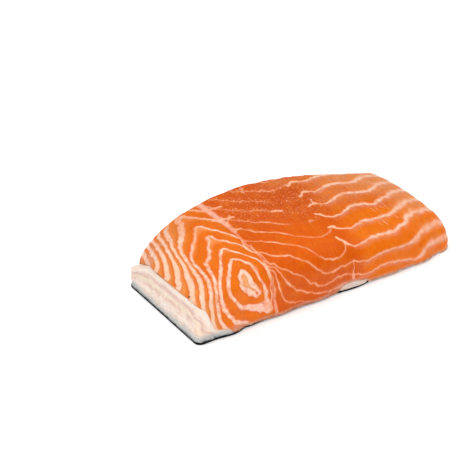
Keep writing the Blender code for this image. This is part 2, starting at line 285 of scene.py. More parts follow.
class Count:
    """A thin-plate surface through the numbered lines, in centimetres of (x, t)."""

    def __init__(self, lines, stiffness=0.0007):
        pts = np.array([(x, t) for n, line in lines.items() for x, t in line], float) / 10.0
        val = np.array([float(n) for n, line in lines.items() for _ in line])
        n = len(pts)
        a = np.zeros((n + 3, n + 3))
        a[:n, :n] = self.plate(pts, pts) + stiffness * np.eye(n)
        a[:n, n] = 1.0
        a[:n, n + 1:] = pts
        a[n, :n] = 1.0
        a[n + 1:, :n] = pts.T
        self.pts = pts
        self.w = np.linalg.solve(a, np.concatenate([val, np.zeros(3)]))

    @staticmethod
    def plate(p, q):
        r2 = (p[:, None, 0] - q[None, :, 0]) ** 2 + (p[:, None, 1] - q[None, :, 1]) ** 2
        return 0.5 * r2 * np.log(r2 + 1e-12)

    def __call__(self, x, t):
        p = np.stack([np.ravel(x), np.ravel(t)], -1) / 10.0
        out = np.empty(len(p))
        n = len(self.pts)
        for a in range(0, len(p), 20000):
            q = p[a:a + 20000]
            out[a:a + 20000] = self.plate(q, self.pts) @ self.w[:n] + self.w[n] + q @ self.w[n + 1:]
        return out.reshape(np.shape(x))


COUNT_A, COUNT_B, COUNT_C = Count(RINGS), Count(MIDDLE), Count(BELLY)


def along(line, t):
    pts = sorted((b, a) for a, b in line)
    return np.interp(t, [p[0] for p in pts], [p[1] for p in pts])


def waves(x, t, lengths, seed, count=5):
    """Smooth unevenness of about -1 to 1, as a sum of waves in seeded directions."""
    rng = np.random.default_rng(seed)
    out = np.zeros_like(np.asarray(x, float))
    for length in lengths:
        for _ in range(count):
            a, ph = rng.uniform(0, 2 * math.pi, 2)
            k = 2 * math.pi / (length * rng.uniform(0.8, 1.25))
            out += np.sin(k * (x * math.cos(a) + t * math.sin(a)) + ph)
    return out / math.sqrt(len(lengths) * count)


def warp(x, t):
    calm = 0.20 - 0.13 * smooth(-54.0, -60.0, x)
    return (x + calm * waves(x, t, (3.2, 6.5), 3), t + calm * waves(x, t, (3.2, 6.5), 4))


def back_count(zone, x, depth):
    """The count on the back cut face, at a depth under its upper edge."""
    x = np.asarray(x, float)
    te, ze = np.interp(x, XG, T_EDGE), np.interp(x, XG, Z_EDGE)
    f = (COUNT_A, COUNT_B, COUNT_C)[zone](x, te)
    if zone == 0:
        z = ze - depth
        turn = ze - 15.0
        folded = turn - np.sqrt((z - 15.0) ** 2 + 6.0)
        ring = np.where(turn > 3, folded, depth)
        depth = depth + (ring - depth) * smooth(-30.0, -38.0, x) * smooth(14.0, 20.0, ze)
    return f - depth / 9.2


def count_at(zone, x, t):
    """The count at (x, t), the back cut face being where t passes the upper edge."""
    x, t = warp(x, t)
    te = np.interp(x, XG, T_EDGE)
    f = (COUNT_A, COUNT_B, COUNT_C)[zone](x, np.minimum(t, te))
    behind = t > te
    if np.any(behind):
        f[behind] = back_count(zone, x[behind], (t - te)[behind])
    return f


def surface_slope(co, quads, f):
    """How fast f changes per millimetre over the mesh, at each vertex."""
    e, g = co[quads[:, 2]] - co[quads[:, 0]], co[quads[:, 3]] - co[quads[:, 1]]
    de, dg = f[quads[:, 2]] - f[quads[:, 0]], f[quads[:, 3]] - f[quads[:, 1]]
    ee, eg, gg = (e * e).sum(1), (e * g).sum(1), (g * g).sum(1)
    det = np.maximum(ee * gg - eg * eg, 1e-4)
    slope = np.sqrt(np.maximum((gg * de * de - 2 * eg * de * dg + ee * dg * dg) / det, 0.0))
    total, count = np.zeros(len(co)), np.zeros(len(co))
    for k in range(4):
        np.add.at(total, quads[:, k], slope)
        np.add.at(count, quads[:, k], 1.0)
    return clamp(total / np.maximum(count, 1.0), 0.03, 1.6)


def segment_distance(x, t, pts):
    d = np.full(np.shape(x), 1e9)
    for (ax, at), (bx, bt) in zip(pts[:-1], pts[1:]):
        ux, ut = bx - ax, bt - at
        k = np.clip(((x - ax) * ux + (t - at) * ut) / (ux * ux + ut * ut), 0, 1)
        d = np.minimum(d, np.hypot(x - ax - k * ux, t - at - k * ut))
    return d


# strokes of fat beside the counted lines: (points, half-width, strength)
STROKES = [
    ([(-33, 73.5), (-30, 73), (-26.5, 71.5)], 0.5, 0.75),
    ([(-32.5, 64), (-29.5, 62.5), (-26, 62)], 0.55, 0.8),
    ([(-32.2, 58), (-30, 60.5), (-27, 64)], 0.35, 0.6),
    ([(-35.5, 64.5), (-34, 63.2), (-32.5, 63.5)], 0.6, 0.8),
    ([(-33, 79), (-31, 76), (-29.5, 72)], 0.4, 0.5),
    ([(-32.3, 52), (-30, 53.5), (-27.5, 53)], 0.4, 0.6),
    ([(-32.4, 46), (-34, 41), (-33, 36)], 0.35, 0.7),
    ([(-31, 41), (-31.5, 36), (-30.3, 30), (-29, 27)], 0.3, 0.6),
    ([(-32.3, 28), (-31.6, 20), (-31.2, 12), (-30.6, 5)], 0.3, 0.75),
    ([(13.4, 7.0), (13.1, 10), (13.3, 15)], 0.27, 0.75),
    ([(13.3, 6.3), (13.4, 7.6)], 0.75, 0.65),
    ([(9.6, 28.0), (10.6, 26.3), (12.2, 24.7), (13.4, 23.2)], 0.50, 1.0),
    ([(10.6, 35.4), (12.0, 35.6), (13.6, 33.9)], 0.60, 1.0),
    ([(10.8, 46.3), (12.6, 45.4), (14.6, 43.2)], 0.58, 0.95),
    ([(11.2, 52.2), (13.8, 53.6), (16.4, 53.4)], 0.50, 0.8),
    ([(15.4, 55.0), (15.9, 57.0)], 0.45, 0.6),
    ([(12.1, 24.8), (12.6, 24.2)], 0.72, 1.0),
    ([(12.5, 35.2), (13.2, 34.7)], 0.78, 1.0),
    ([(12.8, 45.3), (13.5, 44.7)], 0.72, 1.0),
    ([(15.2, 53.9), (15.8, 53.5)], 0.70, 0.9),
    ([(15.9, 63.3), (16.8, 63.1)], 0.80, 0.85),
    ([(12.4, 60.6), (15.4, 63.2), (18.2, 62.6)], 0.62, 0.75),
    ([(11.5, 70.2), (15.2, 72.4), (18.5, 71.6)], 0.70, 0.75),
    ([(5.0, 42.4), (6.4, 43.0)], 0.6, 0.45),
    ([(-7.5, 56.6), (-5.0, 56.0), (-3.0, 55.2)], 0.6, 0.75),
    ([(-12.0, 74.5), (-10.5, 77.5)], 0.7, 0.4),
]


# short rays that cross the flakes near the belly end
for k in range(9):
    at = 36.0 + 1.45 * k + 0.55 * np.sin(2.1 * k)
    STROKES.append(([(at, 29.6 + 0.25 * k + 0.7 * np.sin(3.7 * k)),
                     (at + 0.8 + 0.5 * np.sin(1.3 * k), 26.2 + 0.3 * k + 1.5 * np.sin(5.3 * k))],
                    0.20, 0.48 + 0.18 * np.sin(4.1 * k)))
for k in range(8):
    at = 39.0 + 1.5 * k + 0.6 * np.sin(2.9 * k)
    STROKES.append(([(at, 39.0 + 0.7 * np.sin(4.3 * k)),
                     (at + 1.0 + 0.5 * np.sin(1.9 * k), 35.6 + 1.4 * np.sin(2.3 * k))],
                    0.20, 0.42 + 0.18 * np.sin(3.1 * k)))


# ---- meshes ---------------------------------------------------------------
def material(name):
    mat = bpy.data.materials.new(name)
    mat.use_nodes = True
    mat.node_tree.nodes.clear()
    return mat


def make_object(name, co, faces, mat):
    mesh = bpy.data.meshes.new(name)
    mesh.from_pydata([], [], [])
    mesh.clear_geometry()
    faces = [f for f in faces]
    loops = np.concatenate([np.asarray(f, np.int32) for f in faces])
    sizes = np.array([len(f) for f in faces], np.int32)
    starts = np.concatenate([[0], np.cumsum(sizes)[:-1]]).astype(np.int32)
    mesh.vertices.add(len(co))
    mesh.vertices.foreach_set("co", np.ascontiguousarray(((co + SHIFT) * MM), np.float32).ravel())
    mesh.loops.add(len(loops))
    mesh.loops.foreach_set("vertex_index", loops)
    mesh.polygons.add(len(sizes))
    mesh.polygons.foreach_set("loop_start", starts)
    mesh.polygons.foreach_set("loop_total", sizes)
    mesh.update(calc_edges=True)
    mesh.validate(verbose=False)
    mesh.polygons.foreach_set("use_smooth", np.ones(len(mesh.polygons), bool))
    mesh.materials.append(mat)
    ob = bpy.data.objects.new(name, mesh)
    bpy.context.scene.collection.objects.link(ob)
    return ob


def put(mesh, name, kind, domain, values):
    at = mesh.attributes.new(name, kind, domain)
    at.data.foreach_set("vector" if kind == "FLOAT_VECTOR" else "value",
                        np.ascontiguousarray(values, np.float32).ravel())


def normals_of(co, quads):
    """Vertex normals of a mesh of quads, by area."""
    n = np.zeros_like(co)
    a, b, c, d = (co[quads[:, k]] for k in range(4))
    f = np.cross(c - a, d - b)
    for k in range(4):
        np.add.at(n, quads[:, k], f)
    return n / np.maximum(np.linalg.norm(n, axis=1, keepdims=True), 1e-9)


FLOOR_GAP = 0.03


def flesh_floor(x, y):
    return fat_top(x, y) + FLOOR_GAP


def flesh_starts(v):
    lo = np.full_like(v, X_FAT_END + 0.15)
    hi = np.full_like(v, X_FAT_END + 16.0)
    for _ in range(40):
        mid = 0.5 * (lo + hi)
        yf, yb = y_front(mid), y_back(mid)
        y = yf + (yb - yf) * v
        over = envelope(mid, y) > flesh_floor(mid, y) + 0.25
        hi = np.where(over, mid, hi)
        lo = np.where(over, lo, mid)
    return hi


COLUMNS, WALL_ROWS, TOP_ROWS, BACK_ROWS, UNDER_ROWS, CAP_ROWS = 330, 34, 132, 44, 18, 20


def build_flesh():
    u = np.linspace(0.0, 1.0, COLUMNS + 1)
    s = u - 0.045 * np.sin(2 * math.pi * u)
    s = np.unique(np.concatenate([s, 1.0 - np.array([0.0001, 0.0004, 0.0009, 0.0016])]))
    vs = np.linspace(0.0, 1.0, 121)
    starts = flesh_starts(vs)
    dense = np.linspace(0.0, 1.0, 601) ** 1.3
    start_d = np.interp(dense, vs, starts)
    loops, coords = [], []
    for si in s:
        xd = start_d + (X_BELLY_END - start_d) * si
        yf, yb = y_front(xd), y_back(xd)
        yd = yf + (yb - yf) * dense
        zd = envelope(xd, yd)
        arc = np.concatenate([[0], np.cumsum(np.sqrt(np.diff(xd) ** 2 + np.diff(yd) ** 2 + np.diff(zd) ** 2))])
        v = np.interp(np.linspace(0, arc[-1], TOP_ROWS + 1), arc, dense)
        st = np.interp(v, vs, starts)
        x = st + (X_BELLY_END - st) * si
        yf, yb = y_front(x), y_back(x)
        y = yf + (yb - yf) * v
        z = envelope(x, y)
        top = np.stack([x, y, z], -1)
        top_t = arc_of(x, v)
        # front cut face
        wall = z[0]
        low = min(float(lip(x[0], flesh_floor(x[0], yf[0]))), wall - 0.15)
        k = np.arange(WALL_ROWS) / WALL_ROWS
        wz = low + (wall - low) * k
        wallp = np.stack([np.full_like(k, x[0]), np.full_like(k, yf[0]), wz], -1)
        # back cut face
        high = z[-1]
        foot = min(float(flesh_floor(x[-1], yb[-1])), high - 0.15)
        k = np.arange(1, BACK_ROWS + 1) / BACK_ROWS
        bz = high + (foot - high) * k
        backp = np.stack([np.full_like(k, x[-1]), np.full_like(k, yb[-1]), bz], -1)
        te = float(np.interp(x[-1], XG, T_EDGE))
        # underside, from the back to the front
        k = np.arange(UNDER_ROWS - 1, 0, -1) / UNDER_ROWS
        stu = np.interp(k, vs, starts)
        xu = stu + (X_BELLY_END - stu) * si
        yu = y_front(xu) + (y_back(xu) - y_front(xu)) * k
        zu = np.minimum(flesh_floor(xu, yu), envelope(xu, yu) - 0.12)
        yin = yf[0] + max(float(fat_inset(x[0])) - 0.4, 0.35)
        zin = min(float(flesh_floor(x[0], yin)) + 0.02, float(envelope(x[0], yin)) - 0.12)
        underp = np.concatenate([np.stack([xu, yu, zu], -1), [[x[0], yin, zin]]])
        co = np.concatenate([wallp, top, backp, underp])
        part = np.concatenate([np.zeros(len(wallp)), np.ones(len(top)), np.full(len(backp), 2), np.full(len(underp), 3)])
        t = np.concatenate([wz, top_t, te + (high - bz), -2.0 - np.zeros(len(underp))])
        loops.append(np.stack([t, part], -1))
        coords.append(co)
    n = len(coords[0])
    m = len(s)
    co = np.concatenate(coords)
    tp = np.concatenate(loops)
    grid = np.arange(m * n).reshape(m, n)
    a, b = grid[:-1], grid[1:]
    quads = np.stack([a, np.roll(a, -1, 1), np.roll(b, -1, 1), b], -1).reshape(-1, 4)[:, ::-1]
    # belly end: a grid between the line over the top and the line underneath
    ring = grid[-1]
    top_i = ring[WALL_ROWS:WALL_ROWS + TOP_ROWS + 1]
    low_i = ring[[0] + list(range(n - 1, WALL_ROWS + TOP_ROWS + BACK_ROWS - 1, -1))]
    ty, tz = co[top_i, 1], co[top_i, 2]
    lz = np.interp(ty, co[low_i, 1], co[low_i, 2])
    k = (np.arange(1, CAP_ROWS + 1) / CAP_ROWS)[None, :]
    cy = np.repeat(ty[:, None], CAP_ROWS, 1)
    cz = tz[:, None] + (lz - tz)[:, None] * k
    inner = (smooth(0.0, 1.4, tz[:, None] - cz) * smooth(0.0, 1.4, cz - lz[:, None])
             * smooth(0.0, 1.6, cy - ty[0]) * smooth(0.0, 1.6, ty[-1] - cy))
    cx = X_BELLY_END - inner * (0.42 - 0.30 * waves(cy, cz, (4.0, 8.0), 36))
    cap = np.stack([cx, cy, cz], -1).reshape(-1, 3)
    ids = np.concatenate([top_i[:, None], len(co) + np.arange(len(cap)).reshape(len(ty), CAP_ROWS)], 1)
    cap_quads = np.stack([ids[:-1, 1:], ids[1:, 1:], ids[1:, :-1], ids[:-1, :-1]], -1).reshape(-1, 4)
    x_par = np.concatenate([co[:, 0], (X_BELLY_END + tz[:, None] - cz).ravel()])
    tp = np.concatenate([tp, np.stack([np.repeat(tp[top_i, 0], CAP_ROWS), np.full(len(cap), 4.0)], -1)])
    co = np.concatenate([co, cap])
    quads = np.concatenate([quads, cap_quads])
    return co, x_par, tp[:, 0], tp[:, 1].astype(int), quads, [list(map(int, grid[0]))]


co, x_at, t_at, part_at, quads, end_faces = build_flesh()
seam_x = along(SEAM, t_at)
chain_x = along(CHAIN, t_at)
te_at = np.interp(x_at, XG, T_EDGE)
on_back = part_at == 2
seam_x = np.where(on_back, along(SEAM, te_at) + 0.10 * (t_at - te_at), seam_x)
chain_x = np.where(on_back, along(CHAIN, te_at) - 0.16 * (t_at - te_at), chain_x)
counts, slopes = [], []
for zone in range(3):
    f = count_at(zone, x_at, t_at)
    counts.append(f)
    slopes.append(surface_slope(co, quads, f))
counts, slopes = np.array(counts), np.array(slopes)
zone_at = np.where(x_at < seam_x, 0, np.where(x_at < chain_x, 1, 2))

# half-width and edge softness of the lines, in millimetres, zone by zone
X, T = x_at, t_at
right_arm = smooth(-44.0, -41.5, X) * smooth(24.0, 34.0, T)
band = clamp(smooth(4.2, 5.3, counts[0]) + smooth(2.7, 3.7, counts[0]) * smooth(30.0, 17.0, T)) * smooth(-38.0, -44.0, X)
bottom = spot(X, T, -39.0, 8.8, 6.5, 3.6)
core = spot(X, T, -42.4, 21.5, 2.6, 5.5)
wide_a = (0.70 + 0.12 * waves(X, T, (9.0,), 21) * (1 - band) - 0.22 * right_arm + 1.45 * bottom + 1.25 * core
          + 0.14 * smooth(-44.0, -48.0, X) * smooth(40.0, 30.0, T) * (1 - band))
wide_a = wide_a + (np.minimum((0.27 + 0.03 * waves(X, T, (5.0, 11.0), 26)) / slopes[0], 1.6) - wide_a) * band
soft_a = 0.36 - 0.14 * right_arm + 0.16 * smooth(45.0, 60.0, T) * (1 - band) - 0.04 * band
wide_b = 0.34 + 0.08 * waves(X, T, (7.0, 12.0), 22)
soft_b = 0.24 + 0.10 * smooth(-8.0, 6.0, X)
low_line = 1.0 - smooth(16.0, 21.0, T)
wide_c = (0.42 + 0.42 * smooth(22.0, 31.0, X) + 0.50 * smooth(44.0, 58.0, X)) * (1 - 0.45 * low_line * (1 - smooth(44.0, 52.0, X)))
wide_c = wide_c * (1.0 + 0.16 * waves(X, T, (8.0, 15.0), 23))
soft_c = 0.24 + 0.16 * smooth(26.0, 44.0, X) + 0.75 * smooth(45.0, 60.0, X)
widths = np.array([wide_a, wide_b, np.maximum(wide_c, 0.28)])
softs = np.array([soft_a, soft_b, soft_c])

# strength of the lines
ink_a = (0.92 - 0.25 * smooth(40.0, 58.0, T) * (1 - band) * (1 - right_arm) - 0.02 * band
         - 0.35 * smooth(60.0, 74.0, T) * smooth(-56.0, -50.0, X) + 0.2 * core)
ink_b = (0.40 - 0.12 * smooth(44.0, 56.0, T) + 0.50 * spot(X, T, -19.0, 35.0, 9.0, 10.0) + 0.42 * spot(X, T, -17.0, 50.0, 9.0, 8.0)
         + 0.38 * spot(X, T, -25.0, 14.0, 6.0, 12.0) + 0.30 * spot(X, T, 2.0, 14.0, 12.0, 9.0)
         + 0.25 * spot(X, T, 9.0, 22.0, 4.0, 4.0) + 0.2 * spot(X, T, -14.0, 9.0, 8.0, 6.0)
         - 0.22 * spot(X, T, 0.0, 50.0, 13.0, 14.0) + 0.18 * spot(X, T, -2.0, 71.0, 8.0, 5.0)
         + 0.12 * waves(X, T, (6.0, 11.0), 25))
ink_c = (0.86 + 0.18 * smooth(24.0, 32.0, X) * smooth(18.0, 24.0, T) - 0.16 * smooth(46.0, 60.0, X)
         - 0.12 * low_line * (1 - smooth(46.0, 54.0, X)))
ink_b = ink_b * (1.0 - 0.9 * smooth(-10.0, 0.0, X) * smooth(37.0, 41.0, T) * (1.0 - smooth(66.0, 70.0, T)))
inks = clamp(np.array([ink_a, ink_b, ink_c]), 0.0, 1.0)


def per_vertex(stack):
    return stack[zone_at, np.arange(stack.shape[1])]


# relief: shallow grooves along the lines, soft swelling of the flakes between
f_v, g_v = per_vertex(counts), per_vertex(slopes)
d_mm = np.abs(f_v - np.round(f_v)) / g_v
w_v, ink_v = per_vertex(widths), per_vertex(inks)
groove = ink_v * np.exp(-(d_mm / (w_v + 0.35)) ** 2)
seam_d = X - seam_x
seam_half = 0.45 + 0.95 * smooth(46.0, 60.0, T) * (1 - on_back)
seam_ink = clamp(0.62 + 0.33 * smooth(48.0, 60.0, T) - 0.30 * hump(T, 22.0, 12.0))
seam_groove = seam_ink * np.exp(-(seam_d / (seam_half + 0.5)) ** 2)
stroke = np.full(len(X), 4.0)
stroke_ink = np.zeros(len(X))
wx, wt = warp(X, T)
for pts, half, strength in STROKES:
    q = segment_distance(wx, wt, pts) / half
    near = q < stroke
    stroke_ink = np.where(near, strength, stroke_ink)
    stroke = np.minimum(stroke, q)
stroke = np.where(on_back | (part_at == 3), 4.0, stroke)

surface = (part_at < 3)
normal = normals_of(co, quads)
open_side = np.where(surface, 1.0, 0.0)
relief = (-0.20 * groove - 0.22 * seam_groove * (part_at < 3) - 0.12 * np.exp(-(stroke / 1.2) ** 2)
          + 0.10 * waves(X, T, (5.0, 9.0), 31) + 0.035 * waves(X, T, (1.7, 2.6), 32)
          - 0.14)
edge_fade = np.where(part_at == 1, smooth(0.3, 2.2, envelope(co[:, 0], co[:, 1]) - flesh_floor(co[:, 0], co[:, 1])), 1.0)
low_edge = np.where(part_at == 0, smooth(0.0, 1.0, co[:, 2] - np.maximum(flesh_floor(co[:, 0], co[:, 1]), 1.2)
                                          + 3.0 * smooth(-52.0, -48.0, co[:, 0])), 1.0)
co = co + normal * (relief * open_side * edge_fade * low_edge)[:, None]
# ragged lower edge of the flesh where it hangs over the skin
ragged = 0.50 * waves(X, 0 * X, (5.0, 9.0, 15.0), 35) * smooth(22.0, 30.0, X) * np.exp(-np.maximum(co[:, 2] - LIP_Z, 0.0) / 1.6)
front_low = (part_at == 0)
co[:, 2] = np.where(front_low, np.maximum(co[:, 2] + ragged, 0.15), co[:, 2])

flesh_mat = material("salmon_flesh")
flesh_ob = make_object("flesh_surface", co, [tuple(q) for q in quads] + end_faces, flesh_mat)
me = flesh_ob.data
loop_v = np.empty(len(me.loops), np.int32)
me.loops.foreach_get("vertex_index", loop_v)
sizes = np.empty(len(me.polygons), np.int32)
me.polygons.foreach_get("loop_total", sizes)
face_of = np.repeat(np.arange(len(sizes)), sizes)
mean = lambda a: np.bincount(face_of, a[loop_v]) / sizes
face_zone = np.where(mean(X - seam_x) < 0, 0, np.where(mean(X - chain_x) < 0, 1, 2))
loop_zone = face_zone[face_of]
f_l = counts[loop_zone, loop_v]
g_l = slopes[loop_zone, loop_v]
put(me, "sep", "FLOAT", "CORNER", f_l)
put(me, "sep_w", "FLOAT", "CORNER", widths[loop_zone, loop_v] * g_l)
put(me, "sep_s", "FLOAT", "CORNER", softs[loop_zone, loop_v] * g_l)
put(me, "ink", "FLOAT", "CORNER", inks[loop_zone, loop_v])
put(me, "seam_d", "FLOAT", "POINT", np.where(surface, seam_d, 9.0))
put(me, "seam_w", "FLOAT", "POINT", seam_half)
put(me, "seam_k", "FLOAT", "POINT", seam_ink)
put(me, "stroke", "FLOAT", "POINT", stroke)
put(me, "stroke_k", "FLOAT", "POINT", stroke_ink)
put(me, "xt", "FLOAT_VECTOR", "POINT", np.stack([X, T, np.where(part_at == 3, 30.0 + co[:, 1], 0.0)], -1))

# tone of the flesh from place to place; the peach mask is partly the flesh's own tone and partly painted sheen
deep = (0.75 * spot(X, T, -8.0, 66.0, 26.0, 17.0) + 0.55 * spot(X, T, 14.0, 58.0, 16.0, 16.0)
        + 0.45 * spot(X, T, 5.0, 8.0, 14.0, 8.0) + 0.35 * spot(X, T, 22.0, 67.0, 14.0, 7.0)
        + 0.25 * spot(X, T, -12.0, 82.0, 30.0, 6.0) + 0.35 * on_back)
bright = (0.85 * spot(X, T, -6.0, 32.0, 24.0, 13.0) + 0.95 * smooth(12.0, 24.0, X) * smooth(46.0, 32.0, T)
          + 0.9 * spot(X, T, 60.0, 12.5, 12.0, 5.0) + 0.35 * spot(X, T, 34.0, 38.0, 8.0, 6.0))
# pale peach tone on the belly top, partly the flesh's own colour and partly painted sheen; the spots at x 36, t 68 and
# x 8, t 74 are painted highlights
peach_and_sheen = (0.85 * smooth(44.0, 62.0, X) * smooth(20.0, 32.0, T) + 0.35 * smooth(30.0, 46.0, X) * smooth(50.0, 60.0, T)
         + 0.25 * spot(X, T, 36.0, 68.0, 10.0, 4.0)
         + 0.40 * spot(X, T, 8.0, 74.0, 10.0, 4.0) + 0.42 * smooth(16.0, 30.0, X) * smooth(42.0, 52.0, T))
banded = band * (1 - 0.35 * smooth(60.0, 80.0, T))
left = smooth(-30.0, -36.0, X)
put(me, "deep", "FLOAT", "POINT", clamp(deep))
put(me, "bright", "FLOAT", "POINT", clamp(bright))
put(me, "peach_and_sheen", "FLOAT", "POINT", clamp(peach_and_sheen))
put(me, "band", "FLOAT", "POINT", clamp(banded))
put(me, "left", "FLOAT", "POINT", clamp(left))
put(me, "belly", "FLOAT", "POINT", smooth(14.0, 24.0, X))
put(me, "glow", "FLOAT", "POINT", clamp(left * (1.0 - band) * smooth(36.0, 50.0, T)))
put(me, "thick", "FLOAT", "POINT", clamp(1.2 * bottom + 0.8 * spot(X, T, -47.0, 4.5, 5.0, 2.5) + 0.6 * core))
put(me, "core", "FLOAT", "POINT", smooth(-0.02, -0.16, counts[0]) * (np.hypot((X + 42.0) / 8.0, (T - 22.0) / 10.0) < 1))
speck_at = co[np.argmin(np.hypot(X + 68.9, T - 26.6) + 99.0 * (part_at != 1))]
put(me, "speck", "FLOAT", "POINT", np.linalg.norm(co - speck_at, axis=1) / 0.60)
base_fat = np.where(part_at == 0, spot(X, T, 12.0, 3.6, 6.5, 1.5) * 1.2
                    + 0.60 * smooth(2.9, 1.3, T) * smooth(24.0, 18.0, X)
                    + 0.50 * smooth(2.8, 1.0, T) * smooth(16.0, 22.0, X) * smooth(62.0, 40.0, X)
                    + 0.5 * spot(X, T, -49.0, 3.0, 4.0, 1.6), 0.0)
base_fat = base_fat + np.where(on_back, 0.8 * smooth(3.4, 1.6, co[:, 2] - np.interp(X, XG, fat_top(XG, y_back(XG)) - 2.2)), 0.0)
base_fat = np.where(part_at == 3, 0.4, base_fat)
put(me, "fatty", "FLOAT", "POINT", clamp(base_fat))

# a flat layout of the surface for baking: main strip, underside, belly end
uv = me.uv_layers.new(name="OFBake")
lx, lt, lp = X[loop_v], T[loop_v], part_at[loop_v]
ly, lz = co[loop_v, 1], co[loop_v, 2]
face_part = np.array([0, 0, 0, 1, 2])[np.maximum.reduceat(lp, np.concatenate([[0], np.cumsum(sizes)[:-1]]))][face_of]
uu = 0.012 + (lx - X_FAT_END) / 160.0
vv = 0.012 + np.maximum(np.where(lp == 3, 0.0, lt), 0.0) / 160.0
under_u, under_v = uu, 0.765 + (ly + 31.0) / 62.0 * 0.222
cap_u, cap_v = 0.915 + (lz / 14.0) * 0.07, 0.012 + (ly + 24.0) / 160.0
uu = np.where(face_part == 1, under_u, np.where(face_part == 2, cap_u, uu))
vv = np.where(face_part == 1, under_v, np.where(face_part == 2, cap_v, vv))
uv.data.foreach_set("uv", np.stack([uu, vv], -1).astype(np.float32).ravel())
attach(flesh_ob, "root")
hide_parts("flesh")


def slab(name, mat, xs, across, z_low, top, inset, wall_rows, back_rows, bottom=None, relief=None):
    """A closed sheet over the footprint, in fine quads that share their vertices."""
    xs = np.asarray(xs, float)
    yf, yb = y_front(xs) + inset(xs), y_back(xs) - 0.1
    ks = np.linspace(0, 1, across + 1)
    loops = []
    for x, a, b in zip(xs, yf, yb):
        y = a + (b - a) * ks
        zt = np.maximum(top(np.full_like(y, x), y), z_low + 0.05)
        w = np.arange(1, wall_rows) / wall_rows
        front = np.stack([np.full_like(w, x), np.full_like(w, a), z_low + (zt[0] - z_low) * w], -1)
        over = np.stack([np.full_like(y, x), y, zt], -1)
        w = np.arange(1, back_rows) / back_rows
        back = np.stack([np.full_like(w, x), np.full_like(w, b), zt[-1] + (z_low - zt[-1]) * w], -1)
        under = np.stack([np.full_like(y, x), y[::-1], np.full_like(y, z_low)], -1)
        loops.append(np.concatenate([front, over, back, under]))
    n, m = len(loops[0]), len(xs)
    co = np.concatenate(loops)
    part = np.tile(np.concatenate([np.zeros(wall_rows - 1), np.ones(across + 1), np.full(back_rows - 1, 2),
                                   np.full(across + 1, 3)]), m).astype(int)
    grid = np.arange(m * n).reshape(m, n)
    a, b = grid[:-1], grid[1:]
    quads = [np.stack([a, np.roll(a, -1, 1), np.roll(b, -1, 1), b], -1).reshape(-1, 4)[:, ::-1]]
    # the two ends, as grids between the line over the top and the one underneath
    for end, flip in ((0, False), (m - 1, True)):
        ring = grid[end]
        top_i = ring[wall_rows - 1:wall_rows + across]
        low_i = ring[wall_rows + across + back_rows - 1:][::-1]
        front_i = np.concatenate([[low_i[0]], ring[:wall_rows - 1], [top_i[0]]])
        back_i = np.concatenate([[low_i[-1]], ring[wall_rows + across:wall_rows + across + back_rows - 1][::-1], [top_i[-1]]])
        rows = wall_rows
        back_line = np.stack([np.interp(np.linspace(0, 1, rows + 1), np.linspace(0, 1, len(back_i)), back_i_k)
                              for back_i_k in (co[back_i, 0], co[back_i, 1], co[back_i, 2])], -1)
        mat_i = np.empty((across + 1, rows + 1), int)
        mat_i[0] = front_i
        new = []
        for k in range(1, across + 1):
            lo, hi = co[low_i[k]], co[top_i[k]]
            if k == across and len(back_i) == rows + 1:
                mat_i[k] = back_i
                continue
            w = (np.arange(1, rows) / rows)[:, None]
            first = len(co) + sum(len(q) for q in new)
            new.append(lo + (hi - lo) * w)
            mat_i[k] = np.concatenate([[low_i[k]], np.arange(first, first + rows - 1), [top_i[k]]])
        if new:
            co = np.concatenate([co] + new)
            part = np.concatenate([part, np.full(len(co) - len(part), 4 if end == 0 else 5)])
        q = np.stack([mat_i[:-1, :-1], mat_i[1:, :-1], mat_i[1:, 1:], mat_i[:-1, 1:]], -1).reshape(-1, 4)
        quads.append(q if flip else q[:, ::-1])
    quads = np.concatenate(quads)
    return co, part, quads


def rim_wave(x, y):
    """The skin is unevenly thick along its cut edge, and the fat follows it."""
    near = np.minimum(np.minimum(y - y_front(x), y_back(x) - y), x - X_FAT_END)
    return clamp(0.16 + 0.26 * waves(x + 0.3, y, (3.0, 7.0), 61)) * np.exp(-np.maximum(near, 0.0) / 1.2)


# ---- fat ------------------------------------------------------------------
FAT_STEPS = 230
u = np.linspace(0, 1, FAT_STEPS + 1)
fat_x = X_FAT_END + (X_BELLY_END - 2.5 - X_FAT_END) * (u + 0.55 * u * (u - 1.0))
FAT_ACROSS, FAT_ROWS = 92, 30
co_f, part_f, quads_f = slab("fat_layer", None, fat_x, FAT_ACROSS, SKIN_T + 0.02,
                             lambda x, y: np.minimum(fat_top(x, y), envelope(x, y)), fat_inset, FAT_ROWS, FAT_ROWS)
base_z = SKIN_T + 0.02
co_f[:, 2] += rim_wave(co_f[:, 0], co_f[:, 1]) * clamp(1.0 - (co_f[:, 2] - base_z) / 1.6)
n_f = normals_of(co_f, quads_f)
open_f = np.where((part_f == 4) | ((part_f == 0) & (co_f[:, 0] < -48.0)) | (part_f == 2), 1.0, 0.0)
open_f = np.where((part_f == 1) & (envelope(co_f[:, 0], co_f[:, 1]) - fat_top(co_f[:, 0], co_f[:, 1]) < 0.2), 1.0, open_f)
